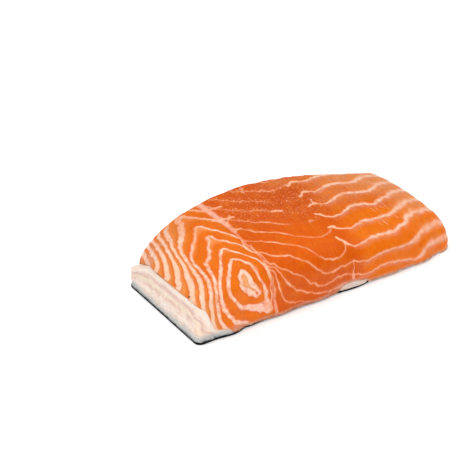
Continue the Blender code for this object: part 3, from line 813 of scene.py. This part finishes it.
# coordinates on the cut rim: a runs round the corner, h is the height and
# depth counts inwards from the flesh, so that the layers bend round the corner
h_f = co_f[:, 2]
x_run = np.linspace(X_FAT_END, X_FAT_END + WEDGE_L, 200)
z_run = np.minimum(fat_top(x_run, y_front(x_run)), envelope(x_run, y_front(x_run)))
x_bound = np.interp(-h_f, -z_run, x_run)
a_f = np.where(part_f == 4, co_f[:, 1] - Y_FRONT, -(co_f[:, 0] - X_FAT_END))
a_f = np.where(part_f == 2, 60.0 + co_f[:, 0] - X_FAT_END, a_f)
z_top = np.minimum(fat_top(co_f[:, 0], co_f[:, 1]), envelope(co_f[:, 0], co_f[:, 1]))
side_way = np.where(part_f == 4, a_f + x_bound - X_FAT_END, np.where(part_f == 0, x_bound - co_f[:, 0], 30.0))
down_way = np.maximum(z_top - h_f, 0.0) * np.where(part_f == 4, 18.5 / np.maximum(z_top - 1.0, 3.0), 1.0)
side_way = np.maximum(side_way, 0.0)
depth_f = -1.4 * np.log(np.exp(-down_way / 1.4) + np.exp(-side_way / 1.4) + 1e-9)
depth_f = np.maximum(depth_f + 0.5 * waves(a_f, h_f, (8.0, 15.0), 44), -1.0)
ridge = 0.20 * np.cos(2 * math.pi * (depth_f - 1.2) / 5.2)
relief_f = ridge + 0.12 * waves(a_f * 0.5, h_f, (3.5, 7.0), 42) + 0.04 * waves(a_f, h_f, (1.2, 1.9), 43) - 0.26
co_f = co_f + n_f * (relief_f * open_f * smooth(0.0, 0.8, h_f - SKIN_T) * smooth(-0.1, 0.9, np.where(part_f == 1, 0.3, z_top - h_f)))[:, None]
fat_mat = material("salmon_fat")
fat_ob = make_object("fat_layer", co_f, [tuple(q) for q in quads_f], fat_mat)
put(fat_ob.data, "rimpos", "FLOAT_VECTOR", "POINT", np.stack([a_f, depth_f, h_f], -1))
put(fat_ob.data, "lens", "FLOAT", "POINT", smooth(-56.0, -48.0, co_f[:, 0]))
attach(fat_ob, "root")
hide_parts("fat")

# ---- skin -----------------------------------------------------------------
SCALE_L, SCALE_W, SCALE_RISE = 2.5, 1.9, 0.26


def scale_field(x, y):
    """(height in millimetres, 0 to 1 place on the scale, its own random number) of overlapping scales."""
    best = np.full(np.shape(x), -1e9)
    place = np.zeros(np.shape(x))
    own = np.zeros(np.shape(x))
    i0 = np.floor(x / (SCALE_L * 0.62)).astype(int)
    for di in (-2, -1, 0, 1, 2):
        i = i0 + di
        j0 = np.floor(y / SCALE_W - 0.5 * (i % 2)).astype(int)
        for dj in (-1, 0, 1):
            j = j0 + dj
            rnd = np.modf(np.abs(np.sin(i * 12.9898 + j * 78.233) * 43758.5453))[0]
            rnd2 = np.modf(np.abs(np.sin(i * 39.346 + j * 11.135) * 24634.6345))[0]
            cx = (i + 0.5) * SCALE_L * 0.62 + 0.35 * (rnd - 0.5)
            cy = (j + 0.5 + 0.5 * (i % 2)) * SCALE_W + 0.30 * (rnd2 - 0.5)
            p, q = (x - cx) / (SCALE_L * 0.78), (y - cy) / (SCALE_W * 0.72)
            r = np.sqrt(p * p + q * q)
            h = np.where(r < 1.0, 0.5 + 0.5 * p - 0.25 * q * q + 0.2 * (rnd - 0.5), -1e9)
            hit = h > best
            best = np.where(hit, h, best)
            place = np.where(hit, r, place)
            own = np.where(hit, rnd2, own)
    return np.where(best < -1e8, 0.0, best), place, own


SKIN_STEPS = 300
skin_x = np.linspace(X_FAT_END, X_BELLY_END - 2.5, SKIN_STEPS + 1)
SKIN_ACROSS = 120
co_s, part_s, quads_s = slab("skin_sheet", None, skin_x, SKIN_ACROSS, 0.0,
                             lambda x, y: np.full_like(x, SKIN_T),
                             lambda x: skin_inset(x) + 0.2 * smooth(-42.0, -33.0, x) * (1.0 - smooth(2.0, 8.0, x)), 5, 5)
co_s[:, 2] = np.where((part_s != 3) & (co_s[:, 2] > 0.2), co_s[:, 2] + rim_wave(co_s[:, 0], co_s[:, 1]) * co_s[:, 2], co_s[:, 2])
h_s, place_s, own_s = scale_field(co_s[:, 0], co_s[:, 1])
under_s = part_s == 3
rise = SCALE_RISE * clamp(1.0 - h_s)
co_s[:, 2] = np.where(under_s, co_s[:, 2] + rise, co_s[:, 2])
side_s = (part_s == 0) | (part_s == 2) | (part_s >= 4)
n_s = normals_of(co_s, quads_s)
co_s = co_s + n_s * (np.where(side_s, 0.10 * waves(co_s[:, 0] + co_s[:, 1], co_s[:, 2], (2.0, 4.5), 51) - 0.15, 0.0))[:, None]
co_s[:, 2] = np.maximum(co_s[:, 2], 0.0)
skin_mat = material("salmon_skin")
skin_ob = make_object("skin_sheet", co_s, [tuple(q) for q in quads_s], skin_mat)
put(skin_ob.data, "spot", "FLOAT", "POINT", place_s)
put(skin_ob.data, "own", "FLOAT", "POINT", own_s)
ms = skin_ob.data
lv = np.empty(len(ms.loops), np.int32)
ms.loops.foreach_get("vertex_index", lv)
ls = np.empty(len(ms.polygons), np.int32)
ms.polygons.foreach_get("loop_total", ls)
fo = np.repeat(np.arange(len(ls)), ls)
whole = np.bincount(fo, under_s[lv].astype(float)) / ls > 0.99
put(ms, "under", "FLOAT", "CORNER", np.where(whole[fo], 1.0, 0.0))
put(skin_ob.data, "pos", "FLOAT_VECTOR", "POINT", co_s)
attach(skin_ob, "root")
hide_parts("skin")


# ---- materials ------------------------------------------------------------
def lin(r, g, b):
    out = []
    for c in (r, g, b):
        c = c / 255.0
        out.append(c / 12.92 if c <= 0.04045 else ((c + 0.055) / 1.055) ** 2.4)
    return (*out, 1.0)


class Nodes:
    """Short calls that add nodes and link them."""

    def __init__(self, mat):
        self.tree = mat.node_tree
        self.count = 0

    def new(self, kind, **props):
        node = self.tree.nodes.new(kind)
        node.location = (200 * (self.count % 12), -180 * (self.count // 12))
        self.count += 1
        for k, v in props.items():
            setattr(node, k, v)
        return node

    def set(self, socket, value):
        if isinstance(value, bpy.types.NodeSocket):
            self.tree.links.new(value, socket)
        else:
            socket.default_value = value

    def attr(self, name, vector=False):
        node = self.new("ShaderNodeAttribute", attribute_type="GEOMETRY", attribute_name=name)
        return node.outputs["Vector" if vector else "Fac"]

    def math(self, op, a, b=0.0, c=0.0, use_clamp=False):
        node = self.new("ShaderNodeMath", operation=op, use_clamp=use_clamp)
        for s, v in zip(node.inputs, (a, b, c)):
            self.set(s, v)
        return node.outputs[0]

    def noise(self, vector, scale, detail=2.0, rough=0.5, stretch=None, dims="3D", w=0.0):
        if stretch is not None:
            m = self.new("ShaderNodeVectorMath", operation="MULTIPLY")
            self.set(m.inputs[0], vector)
            m.inputs[1].default_value = stretch
            vector = m.outputs[0]
        if w:
            m = self.new("ShaderNodeVectorMath", operation="ADD")
            self.set(m.inputs[0], vector)
            m.inputs[1].default_value = (w, w * 1.7, w * 0.3)
            vector = m.outputs[0]
        node = self.new("ShaderNodeTexNoise", noise_dimensions=dims)
        self.set(node.inputs["Vector"], vector)
        node.inputs["Scale"].default_value = scale
        node.inputs["Detail"].default_value = detail
        node.inputs["Roughness"].default_value = rough
        return node.outputs["Fac"]

    def ramp(self, value, a, b, lo=0.0, hi=1.0, kind="SMOOTHSTEP"):
        node = self.new("ShaderNodeMapRange", interpolation_type=kind)
        self.set(node.inputs["Value"], value)
        self.set(node.inputs["From Min"], a)
        self.set(node.inputs["From Max"], b)
        self.set(node.inputs["To Min"], lo)
        self.set(node.inputs["To Max"], hi)
        return node.outputs["Result"]

    def mix(self, fac, a, b, blend="MIX"):
        node = self.new("ShaderNodeMix", data_type="RGBA", blend_type=blend)
        self.set(node.inputs[0], fac)
        self.set(node.inputs[6], a)
        self.set(node.inputs[7], b)
        return node.outputs[2]


def flesh_material():
    n = Nodes(flesh_mat)
    xt = n.attr("xt", vector=True)
    f, w, soft, ink = n.attr("sep"), n.attr("sep_w"), n.attr("sep_s"), n.attr("ink")
    fuzz = n.noise(xt, 0.75, 3.0, 0.6)
    fine = n.noise(xt, 2.2, 3.0, 0.6, w=7.0)
    large = n.noise(xt, 0.11, 2.0, 0.5, w=3.0)
    patch = n.noise(xt, 0.32, 3.0, 0.6, w=11.0)
    strands = n.noise(xt, 1.0, 3.0, 0.65, stretch=(1.5, 0.22, 1.0), w=5.0)
    fleck = n.noise(xt, 1.3, 2.0, 0.5, w=23.0)
    # distance to the nearest septum, with an uneven edge
    calm = n.math("MULTIPLY_ADD", n.attr("band"), -0.72, 1.0)
    jog = n.math("MULTIPLY", n.math("SUBTRACT", fuzz, 0.5), n.math("MULTIPLY", w, n.math("MULTIPLY", calm, 1.3)))
    jog2 = n.math("MULTIPLY", n.math("SUBTRACT", fine, 0.5), n.math("MULTIPLY", w, n.math("MULTIPLY", calm, 0.7)))
    d = n.math("PINGPONG", n.math("ADD", f, n.math("ADD", jog, jog2)), 0.5)
    line = n.ramp(d, n.math("ADD", w, soft), n.math("MAXIMUM", n.math("SUBTRACT", w, soft), 0.0))
    uneven = n.math("MAXIMUM", n.ramp(patch, 0.30, 0.62, 0.55, 1.05), n.math("MULTIPLY", n.attr("band"), 0.95))
    line = n.math("MULTIPLY", line, n.math("MULTIPLY", ink, uneven), use_clamp=True)
    halo = n.ramp(d, n.math("MULTIPLY_ADD", w, 1.8, n.math("MULTIPLY", soft, 2.2)), w)
    halo = n.math("MULTIPLY", halo, n.math("MULTIPLY", ink, 0.30), use_clamp=True)
    # the seam and the single strokes
    sd = n.math("ABSOLUTE", n.math("ADD", n.attr("seam_d"), n.math("MULTIPLY", n.math("SUBTRACT", fuzz, 0.5), 1.7)))
    sw = n.attr("seam_w")
    seam = n.ramp(sd, n.math("MULTIPLY", sw, 1.5), n.math("MULTIPLY", sw, 0.35))
    seam = n.math("MULTIPLY", seam, n.math("MULTIPLY", n.attr("seam_k"), n.ramp(patch, 0.25, 0.55, 0.45, 1.0)), use_clamp=True)
    st = n.math("ADD", n.attr("stroke"), n.math("MULTIPLY", n.math("SUBTRACT", fine, 0.5), 1.6))
    mark = n.math("MULTIPLY", n.ramp(st, 1.5, 0.5), n.attr("stroke_k"), use_clamp=True)
    # flesh between the lines
    base = n.mix(n.attr("left"), lin(216, 88, 0), lin(238, 117, 14))
    base = n.mix(n.attr("deep"), base, lin(196, 74, 0))
    base = n.mix(n.attr("bright"), base, n.mix(n.attr("belly"), lin(230, 96, 0), lin(236, 112, 0)))
    base = n.mix(n.attr("band"), base, lin(244, 156, 84))
    # pale peach over the belly top: partly the flesh's own colour, partly painted sheen and painted highlights
    peach_and_sheen = n.math("MULTIPLY", n.attr("peach_and_sheen"), n.ramp(large, 0.35, 0.62, 0.55, 1.0), use_clamp=True)
    base = n.mix(peach_and_sheen, base, lin(226, 154, 100))
    base = n.mix(n.ramp(large, 0.38, 0.66, 0.0, 0.24), base, lin(206, 78, 10))
    amber = n.noise(xt, 0.16, 3.0, 0.6, w=71.0)
    base = n.mix(n.ramp(amber, 0.46, 0.64, 0.0, 0.30), base, lin(226, 116, 10))
    gold = n.math("MULTIPLY", n.ramp(amber, 0.56, 0.42, 0.0, 0.40), n.attr("belly"))
    base = n.mix(gold, base, lin(234, 128, 14))
    base = n.mix(n.ramp(strands, 0.50, 0.72, 0.0, 0.20), base, lin(240, 132, 44))
    base = n.mix(n.ramp(strands, 0.46, 0.30, 0.0, 0.24), base, lin(190, 66, 8))
    base = n.mix(n.ramp(fleck, 0.64, 0.76, 0.0, 0.35), base, lin(246, 156, 92))
    dash = n.noise(xt, 1.0, 3.0, 0.7, stretch=(0.8, 1.7, 1.0), w=57.0)
    dash = n.math("MULTIPLY", n.ramp(dash, 0.54, 0.64, 0.0, 0.70), n.ramp(n.attr("deep"), 0.1, 0.6))
    base = n.mix(dash, base, lin(240, 150, 104))
    base = n.mix(n.ramp(fine, 0.62, 0.80, 0.0, 0.14), base, lin(248, 158, 88))
    grain = n.noise(xt, 3.1, 2.0, 0.6, stretch=(1.3, 0.6, 1.0), w=83.0)
    base = n.mix(n.ramp(grain, 0.50, 0.74, 0.0, 0.22), base, lin(246, 148, 62))
    base = n.mix(n.ramp(grain, 0.48, 0.28, 0.0, 0.34), base, lin(188, 66, 0))
    # pale flecks beside the lines in the deeper flesh, partly the flesh's own flecks and partly painted glints
    flecks_and_glints = n.noise(xt, 1.0, 1.0, 0.5, stretch=(0.9, 1.1, 1.0), w=67.0)
    flecks_and_glints = n.math("MULTIPLY", n.ramp(flecks_and_glints, 0.60, 0.69, 0.0, 0.8), n.math("MULTIPLY", n.ramp(d, 0.34, 0.08), n.ramp(n.attr("deep"), 0.15, 0.5)))
    base = n.mix(flecks_and_glints, base, lin(248, 180, 140))
    heart = n.math("MULTIPLY", n.attr("core"), n.ramp(fine, 0.36, 0.60, 0.70, 0.95))
    base = n.mix(heart, base, lin(242, 176, 118))
    rays = n.noise(xt, 1.0, 3.0, 0.65, stretch=(1.9, 0.20, 1.0), w=91.0)
    rays = n.math("MULTIPLY", n.ramp(rays, 0.52, 0.68, 0.0, 0.60), n.attr("peach_and_sheen"))
    base = n.mix(rays, base, lin(248, 186, 146))
    # pale walls
    pale = n.mix(n.attr("left"), lin(251, 195, 158), lin(253, 192, 158))
    pale = n.mix(n.attr("band"), pale, lin(253, 200, 164))
    pale = n.mix(n.ramp(patch, 0.40, 0.66, 0.0, 0.7), pale, lin(253, 213, 194))
    colour = n.mix(halo, base, n.mix(n.attr("left"), lin(246, 148, 84), lin(212, 86, 10)))
    pale = n.mix(n.math("MULTIPLY", n.attr("thick"), 0.85), pale, lin(255, 210, 194))
    pale = n.mix(n.ramp(d, w, 0.0, 0.0, 0.55), pale, lin(255, 222, 202))
    pale = n.mix(n.math("MULTIPLY", n.attr("belly"), 0.45), pale, lin(240, 176, 142))
    middle = n.math("MULTIPLY", n.math("SUBTRACT", 1.0, n.attr("left")), n.math("SUBTRACT", 1.0, n.attr("belly")))
    pale = n.mix(n.math("MULTIPLY", middle, 0.45), pale, lin(247, 168, 118))
    side = n.ramp(n.math("FRACT", f), 0.58, 0.97, 0.0, 0.60)
    colour = n.mix(n.math("MULTIPLY", side, n.attr("glow")), colour, lin(249, 164, 100))
    under = n.math("MULTIPLY", n.ramp(n.math("FRACT", f), 0.60, 0.96, 0.0, 0.75), n.ramp(patch, 0.34, 0.60, 0.25, 1.0))
    colour = n.mix(n.math("MULTIPLY", under, n.attr("belly")), colour, lin(221, 144, 116))
    edge = n.ramp(n.math("FRACT", f), 0.66, 0.30, 0.0, 0.70)
    colour = n.mix(n.math("MULTIPLY", edge, n.attr("band")), colour, lin(222, 108, 6))
    colour = n.mix(line, colour, pale)
    colour = n.mix(n.math("MULTIPLY", seam, 0.85), colour, lin(254, 190, 168))
    colour = n.mix(mark, colour, lin(252, 194, 158))
    grey = n.mix(n.ramp(fuzz, 0.35, 0.65), lin(234, 190, 168), lin(214, 160, 138))
    colour = n.mix(n.math("MULTIPLY", n.attr("fatty"), n.ramp(patch, 0.3, 0.6, 0.6, 1.0), use_clamp=True), colour, grey)
    colour = n.mix(n.ramp(n.attr("speck"), 1.15, 0.7), colour, lin(34, 24, 22))
    # wet surface
    rough = n.ramp(n.noise(xt, 0.55, 3.0, 0.6, w=31.0), 0.3, 0.7, 0.26, 0.44)
    bump_h = n.math("ADD", n.math("MULTIPLY", n.noise(xt, 1.6, 4.0, 0.65, w=41.0), 0.7),
                    n.math("MULTIPLY", strands, 0.45))
    bump_h = n.math("SUBTRACT", bump_h, n.math("MULTIPLY", line, 0.25))
    bump = n.new("ShaderNodeBump")
    bump.inputs["Strength"].default_value = 0.35
    bump.inputs["Distance"].default_value = 0.00035
    n.set(bump.inputs["Height"], bump_h)
    shader = n.new("ShaderNodeBsdfPrincipled")
    n.set(shader.inputs["Base Color"], colour)
    n.set(shader.inputs["Roughness"], rough)
    n.set(shader.inputs["Normal"], bump.outputs[0])
    shader.inputs["Metallic"].default_value = 0.0
    shader.inputs["IOR"].default_value = 1.38
    shader.inputs["Specular IOR Level"].default_value = 0.13
    shader.inputs["Subsurface Weight"].default_value = 0.18
    shader.inputs["Subsurface Radius"].default_value = (1.0, 0.35, 0.15)
    shader.inputs["Subsurface Scale"].default_value = 0.0022
    shader.inputs["Coat Weight"].default_value = 0.02
    shader.inputs["Coat Roughness"].default_value = 0.15
    out = n.new("ShaderNodeOutputMaterial")
    n.tree.links.new(shader.outputs[0], out.inputs["Surface"])


def fat_material():
    n = Nodes(fat_mat)
    p = n.attr("rimpos", vector=True)
    sep = n.new("ShaderNodeSeparateXYZ")
    n.set(sep.inputs[0], p)
    height = sep.outputs["Z"]
    streak = n.noise(p, 1.0, 4.0, 0.6, stretch=(0.13, 0.85, 0.0), w=3.0)
    thin = n.noise(p, 1.0, 3.0, 0.6, stretch=(0.22, 2.1, 0.0), w=21.0)
    blot = n.noise(p, 0.22, 3.0, 0.6, w=9.0)
    fine = n.noise(p, 2.0, 3.0, 0.6, w=15.0)
    depth = n.math("ADD", sep.outputs["Y"], n.math("MULTIPLY", n.math("SUBTRACT", blot, 0.5), 4.0))

    def layer(centre, half, soft):
        d = n.math("ABSOLUTE", n.math("SUBTRACT", depth, centre))
        return n.ramp(d, half + soft, half - soft)

    base = n.mix(n.ramp(streak, 0.36, 0.62), lin(249, 219, 200), lin(255, 239, 227))
    base = n.mix(n.math("MULTIPLY", layer(4.6, 1.3, 1.1), n.ramp(streak, 0.34, 0.56, 0.2, 0.95)), base, lin(222, 180, 166))
    base = n.mix(n.math("MULTIPLY", layer(7.4, 1.3, 1.2), n.ramp(streak, 0.30, 0.60, 0.2, 0.8)), base, lin(243, 222, 190))
    base = n.mix(n.math("MULTIPLY", layer(9.8, 1.0, 0.9), n.ramp(blot, 0.36, 0.60, 0.1, 0.9)), base, lin(230, 192, 176))
    base = n.mix(n.ramp(thin, 0.52, 0.70, 0.0, 0.7), base, lin(255, 244, 234))
    base = n.mix(n.ramp(thin, 0.42, 0.28, 0.0, 0.75), base, lin(218, 178, 160))
    base = n.mix(n.ramp(fine, 0.60, 0.80, 0.0, 0.3), base, lin(252, 236, 222))
    cloud = n.noise(p, 0.30, 3.0, 0.6, stretch=(1.0, 1.0, 0.0), w=33.0)
    base = n.mix(n.math("MULTIPLY", n.ramp(cloud, 0.50, 0.66, 0.0, 0.60), n.ramp(depth, 3.0, 5.5)), base, lin(226, 190, 172))
    # greyish above the skin, dark next to it
    low = n.math("ADD", height, n.math("MULTIPLY", n.math("SUBTRACT", blot, 0.5), 3.0))
    base = n.mix(n.math("MULTIPLY", n.ramp(low, 5.6, 2.0, 0.0, 0.95), n.ramp(streak, 0.30, 0.55, 0.75, 1.0)), base, lin(184, 188, 188))
    base = n.mix(n.ramp(low, 2.1, 0.9, 0.0, 0.85), base, lin(92, 99, 102))
    bare = n.mix(n.ramp(fine, 0.35, 0.65), lin(238, 218, 204), lin(212, 192, 180))
    bare = n.mix(n.ramp(blot, 0.42, 0.62, 0.0, 0.6), bare, lin(226, 176, 152))
    base = n.mix(n.math("MULTIPLY", n.attr("lens"), 0.85), base, bare)
    rough = n.ramp(blot, 0.3, 0.7, 0.34, 0.50)
    bump = n.new("ShaderNodeBump")
    bump.inputs["Strength"].default_value = 0.45
    bump.inputs["Distance"].default_value = 0.0004
    n.set(bump.inputs["Height"], n.math("ADD", thin, n.math("MULTIPLY", fine, 0.4)))
    shader = n.new("ShaderNodeBsdfPrincipled")
    n.set(shader.inputs["Base Color"], base)
    n.set(shader.inputs["Roughness"], rough)
    n.set(shader.inputs["Normal"], bump.outputs[0])
    shader.inputs["Metallic"].default_value = 0.0
    shader.inputs["IOR"].default_value = 1.42
    shader.inputs["Specular IOR Level"].default_value = 0.40
    shader.inputs["Subsurface Weight"].default_value = 0.20
    shader.inputs["Subsurface Radius"].default_value = (1.0, 0.6, 0.4)
    shader.inputs["Subsurface Scale"].default_value = 0.0015
    out = n.new("ShaderNodeOutputMaterial")
    n.tree.links.new(shader.outputs[0], out.inputs["Surface"])


def skin_material():
    n = Nodes(skin_mat)
    p = n.attr("pos", vector=True)
    sep = n.new("ShaderNodeSeparateXYZ")
    n.set(sep.inputs[0], p)
    blot = n.noise(p, 0.14, 3.0, 0.6, w=5.0)
    fine = n.noise(p, 1.1, 3.0, 0.65, stretch=(0.55, 1.0, 1.0), w=9.0)
    spot_r, own = n.attr("spot"), n.attr("own")
    place = n.math("ADD", sep.outputs["X"], n.math("MULTIPLY", n.math("SUBTRACT", blot, 0.5), 46.0))
    pale = n.ramp(place, -48.0, 30.0)
    dark_c = n.mix(n.ramp(fine, 0.40, 0.66), lin(52, 56, 56), lin(92, 96, 92))
    pale_c = n.mix(n.ramp(fine, 0.36, 0.62), lin(176, 177, 174), lin(216, 215, 212))
    base = n.mix(pale, dark_c, pale_c)
    base = n.mix(n.math("MULTIPLY", n.ramp(own, 0.72, 0.95), n.ramp(spot_r, 0.25, 0.95)), base, lin(228, 229, 226))
    base = n.mix(n.math("MULTIPLY", n.ramp(own, 0.26, 0.05), n.ramp(spot_r, 0.2, 0.9, 0.3, 0.9)), base, lin(62, 64, 62))
    base = n.mix(n.ramp(spot_r, 0.72, 1.0, 0.0, 0.55), base, lin(108, 110, 106))
    # the cut edge of the sheet is black
    base = n.mix(n.attr("under"), n.mix(n.ramp(fine, 0.4, 0.7), lin(2, 2, 2), lin(14, 15, 15)), base)
    rough = n.ramp(fine, 0.3, 0.7, 0.30, 0.50)
    shader = n.new("ShaderNodeBsdfPrincipled")
    shader.inputs["Specular IOR Level"].default_value = 0.16
    n.set(shader.inputs["Base Color"], base)
    n.set(shader.inputs["Roughness"], rough)
    n.set(shader.inputs["Metallic"], n.math("MULTIPLY", n.attr("under"), n.math("MULTIPLY", pale, 0.30)))
    bump = n.new("ShaderNodeBump")
    bump.inputs["Strength"].default_value = 0.4
    bump.inputs["Distance"].default_value = 0.0003
    n.set(bump.inputs["Height"], fine)
    n.set(shader.inputs["Normal"], bump.outputs[0])
    shader.inputs["IOR"].default_value = 1.45
    out = n.new("ShaderNodeOutputMaterial")
    n.tree.links.new(shader.outputs[0], out.inputs["Surface"])


flesh_material()
fat_material()
skin_material()

# ---- floor, light and camera ---------------------------------------------
floor_mesh = bpy.data.meshes.new("floor")
R = 3.0
floor_mesh.from_pydata([(-R, -R, -0.0002), (R, -R, -0.0002), (R, R, -0.0002), (-R, R, -0.0002)], [], [(0, 1, 2, 3)])
floor = bpy.data.objects.new("floor", floor_mesh)
bpy.context.scene.collection.objects.link(floor)
floor_mat = bpy.data.materials.new("floor_white")
floor_mat.use_nodes = True
fs = floor_mat.node_tree.nodes["Principled BSDF"]
fs.inputs["Base Color"].default_value = (0.97, 0.97, 0.97, 1.0)
fs.inputs["Emission Color"].default_value = (1.0, 1.0, 1.0, 1.0)
fs.inputs["Emission Strength"].default_value = 0.20
fs.inputs["Roughness"].default_value = 0.9
fs.inputs["Specular IOR Level"].default_value = 0.1
floor_mesh.materials.append(floor_mat)

world = bpy.data.worlds.new("studio")
world.use_nodes = True
world.node_tree.nodes["Background"].inputs["Color"].default_value = (1.0, 1.0, 1.0, 1.0)
wt = world.node_tree
direction = wt.nodes.new("ShaderNodeTexCoord")
split = wt.nodes.new("ShaderNodeSeparateXYZ")
rise_n = wt.nodes.new("ShaderNodeMapRange")
rise_n.interpolation_type = "SMOOTHSTEP"
wt.links.new(direction.outputs["Generated"], split.inputs[0])
wt.links.new(split.outputs["Z"], rise_n.inputs["Value"])
for socket, value in (("From Min", 0.40), ("From Max", 1.0), ("To Min", 0.20), ("To Max", 1.0)):
    rise_n.inputs[socket].default_value = value
wt.links.new(rise_n.outputs["Result"], wt.nodes["Background"].inputs["Strength"])
bpy.context.scene.world = world


def lamp(name, place, aim, size, power, colour=(1, 1, 1)):
    data = bpy.data.lights.new(name, "AREA")
    data.shape = "DISK"
    data.size = size
    data.energy = power
    data.color = colour
    ob = bpy.data.objects.new(name, data)
    bpy.context.scene.collection.objects.link(ob)
    ob.location = place
    from mathutils import Vector
    ob.rotation_euler = (Vector(aim) - Vector(place)).to_track_quat("-Z", "Y").to_euler()
    return ob


lamp("key", (-0.25, 0.10, 0.85), (0.0, 0.0, 0.02), 0.7, 3.1)
lamp("fill", (-0.45, -0.75, 0.45), (0.0, 0.0, 0.01), 0.7, 2.5)
lamp("side", (0.75, -0.10, 0.40), (0.0, 0.0, 0.01), 0.5, 1.2)

scene = bpy.context.scene
scene.view_settings.view_transform = "Standard"
scene.view_settings.look = "None"
scene.view_settings.exposure = 0.0
scene.view_settings.gamma = 1.0

az, el, dist = math.radians(-33.15), math.radians(31.01), 812.17
aim = np.array([-16.24, 23.11, 12.0]) + SHIFT
back = np.array([math.sin(az) * math.cos(el), -math.cos(az) * math.cos(el), math.sin(el)])
right = np.array([math.cos(az), math.sin(az), 0.0])
up = np.cross(back, right)
place = (aim + back * dist) * MM
cam_data = bpy.data.cameras.new("camera")
cam_data.lens = 135.0
cam_data.sensor_width = 36.0
cam_data.sensor_fit = "HORIZONTAL"
cam_data.clip_start, cam_data.clip_end = 0.01, 20.0
cam = bpy.data.objects.new("camera", cam_data)
scene.collection.objects.link(cam)
from mathutils import Matrix
rot = Matrix((tuple(right), tuple(up), tuple(back))).transposed()
cam.matrix_world = Matrix.Translation(tuple(place)) @ rot.to_4x4()
scene.camera = cam

bpy.context.view_layer.update()
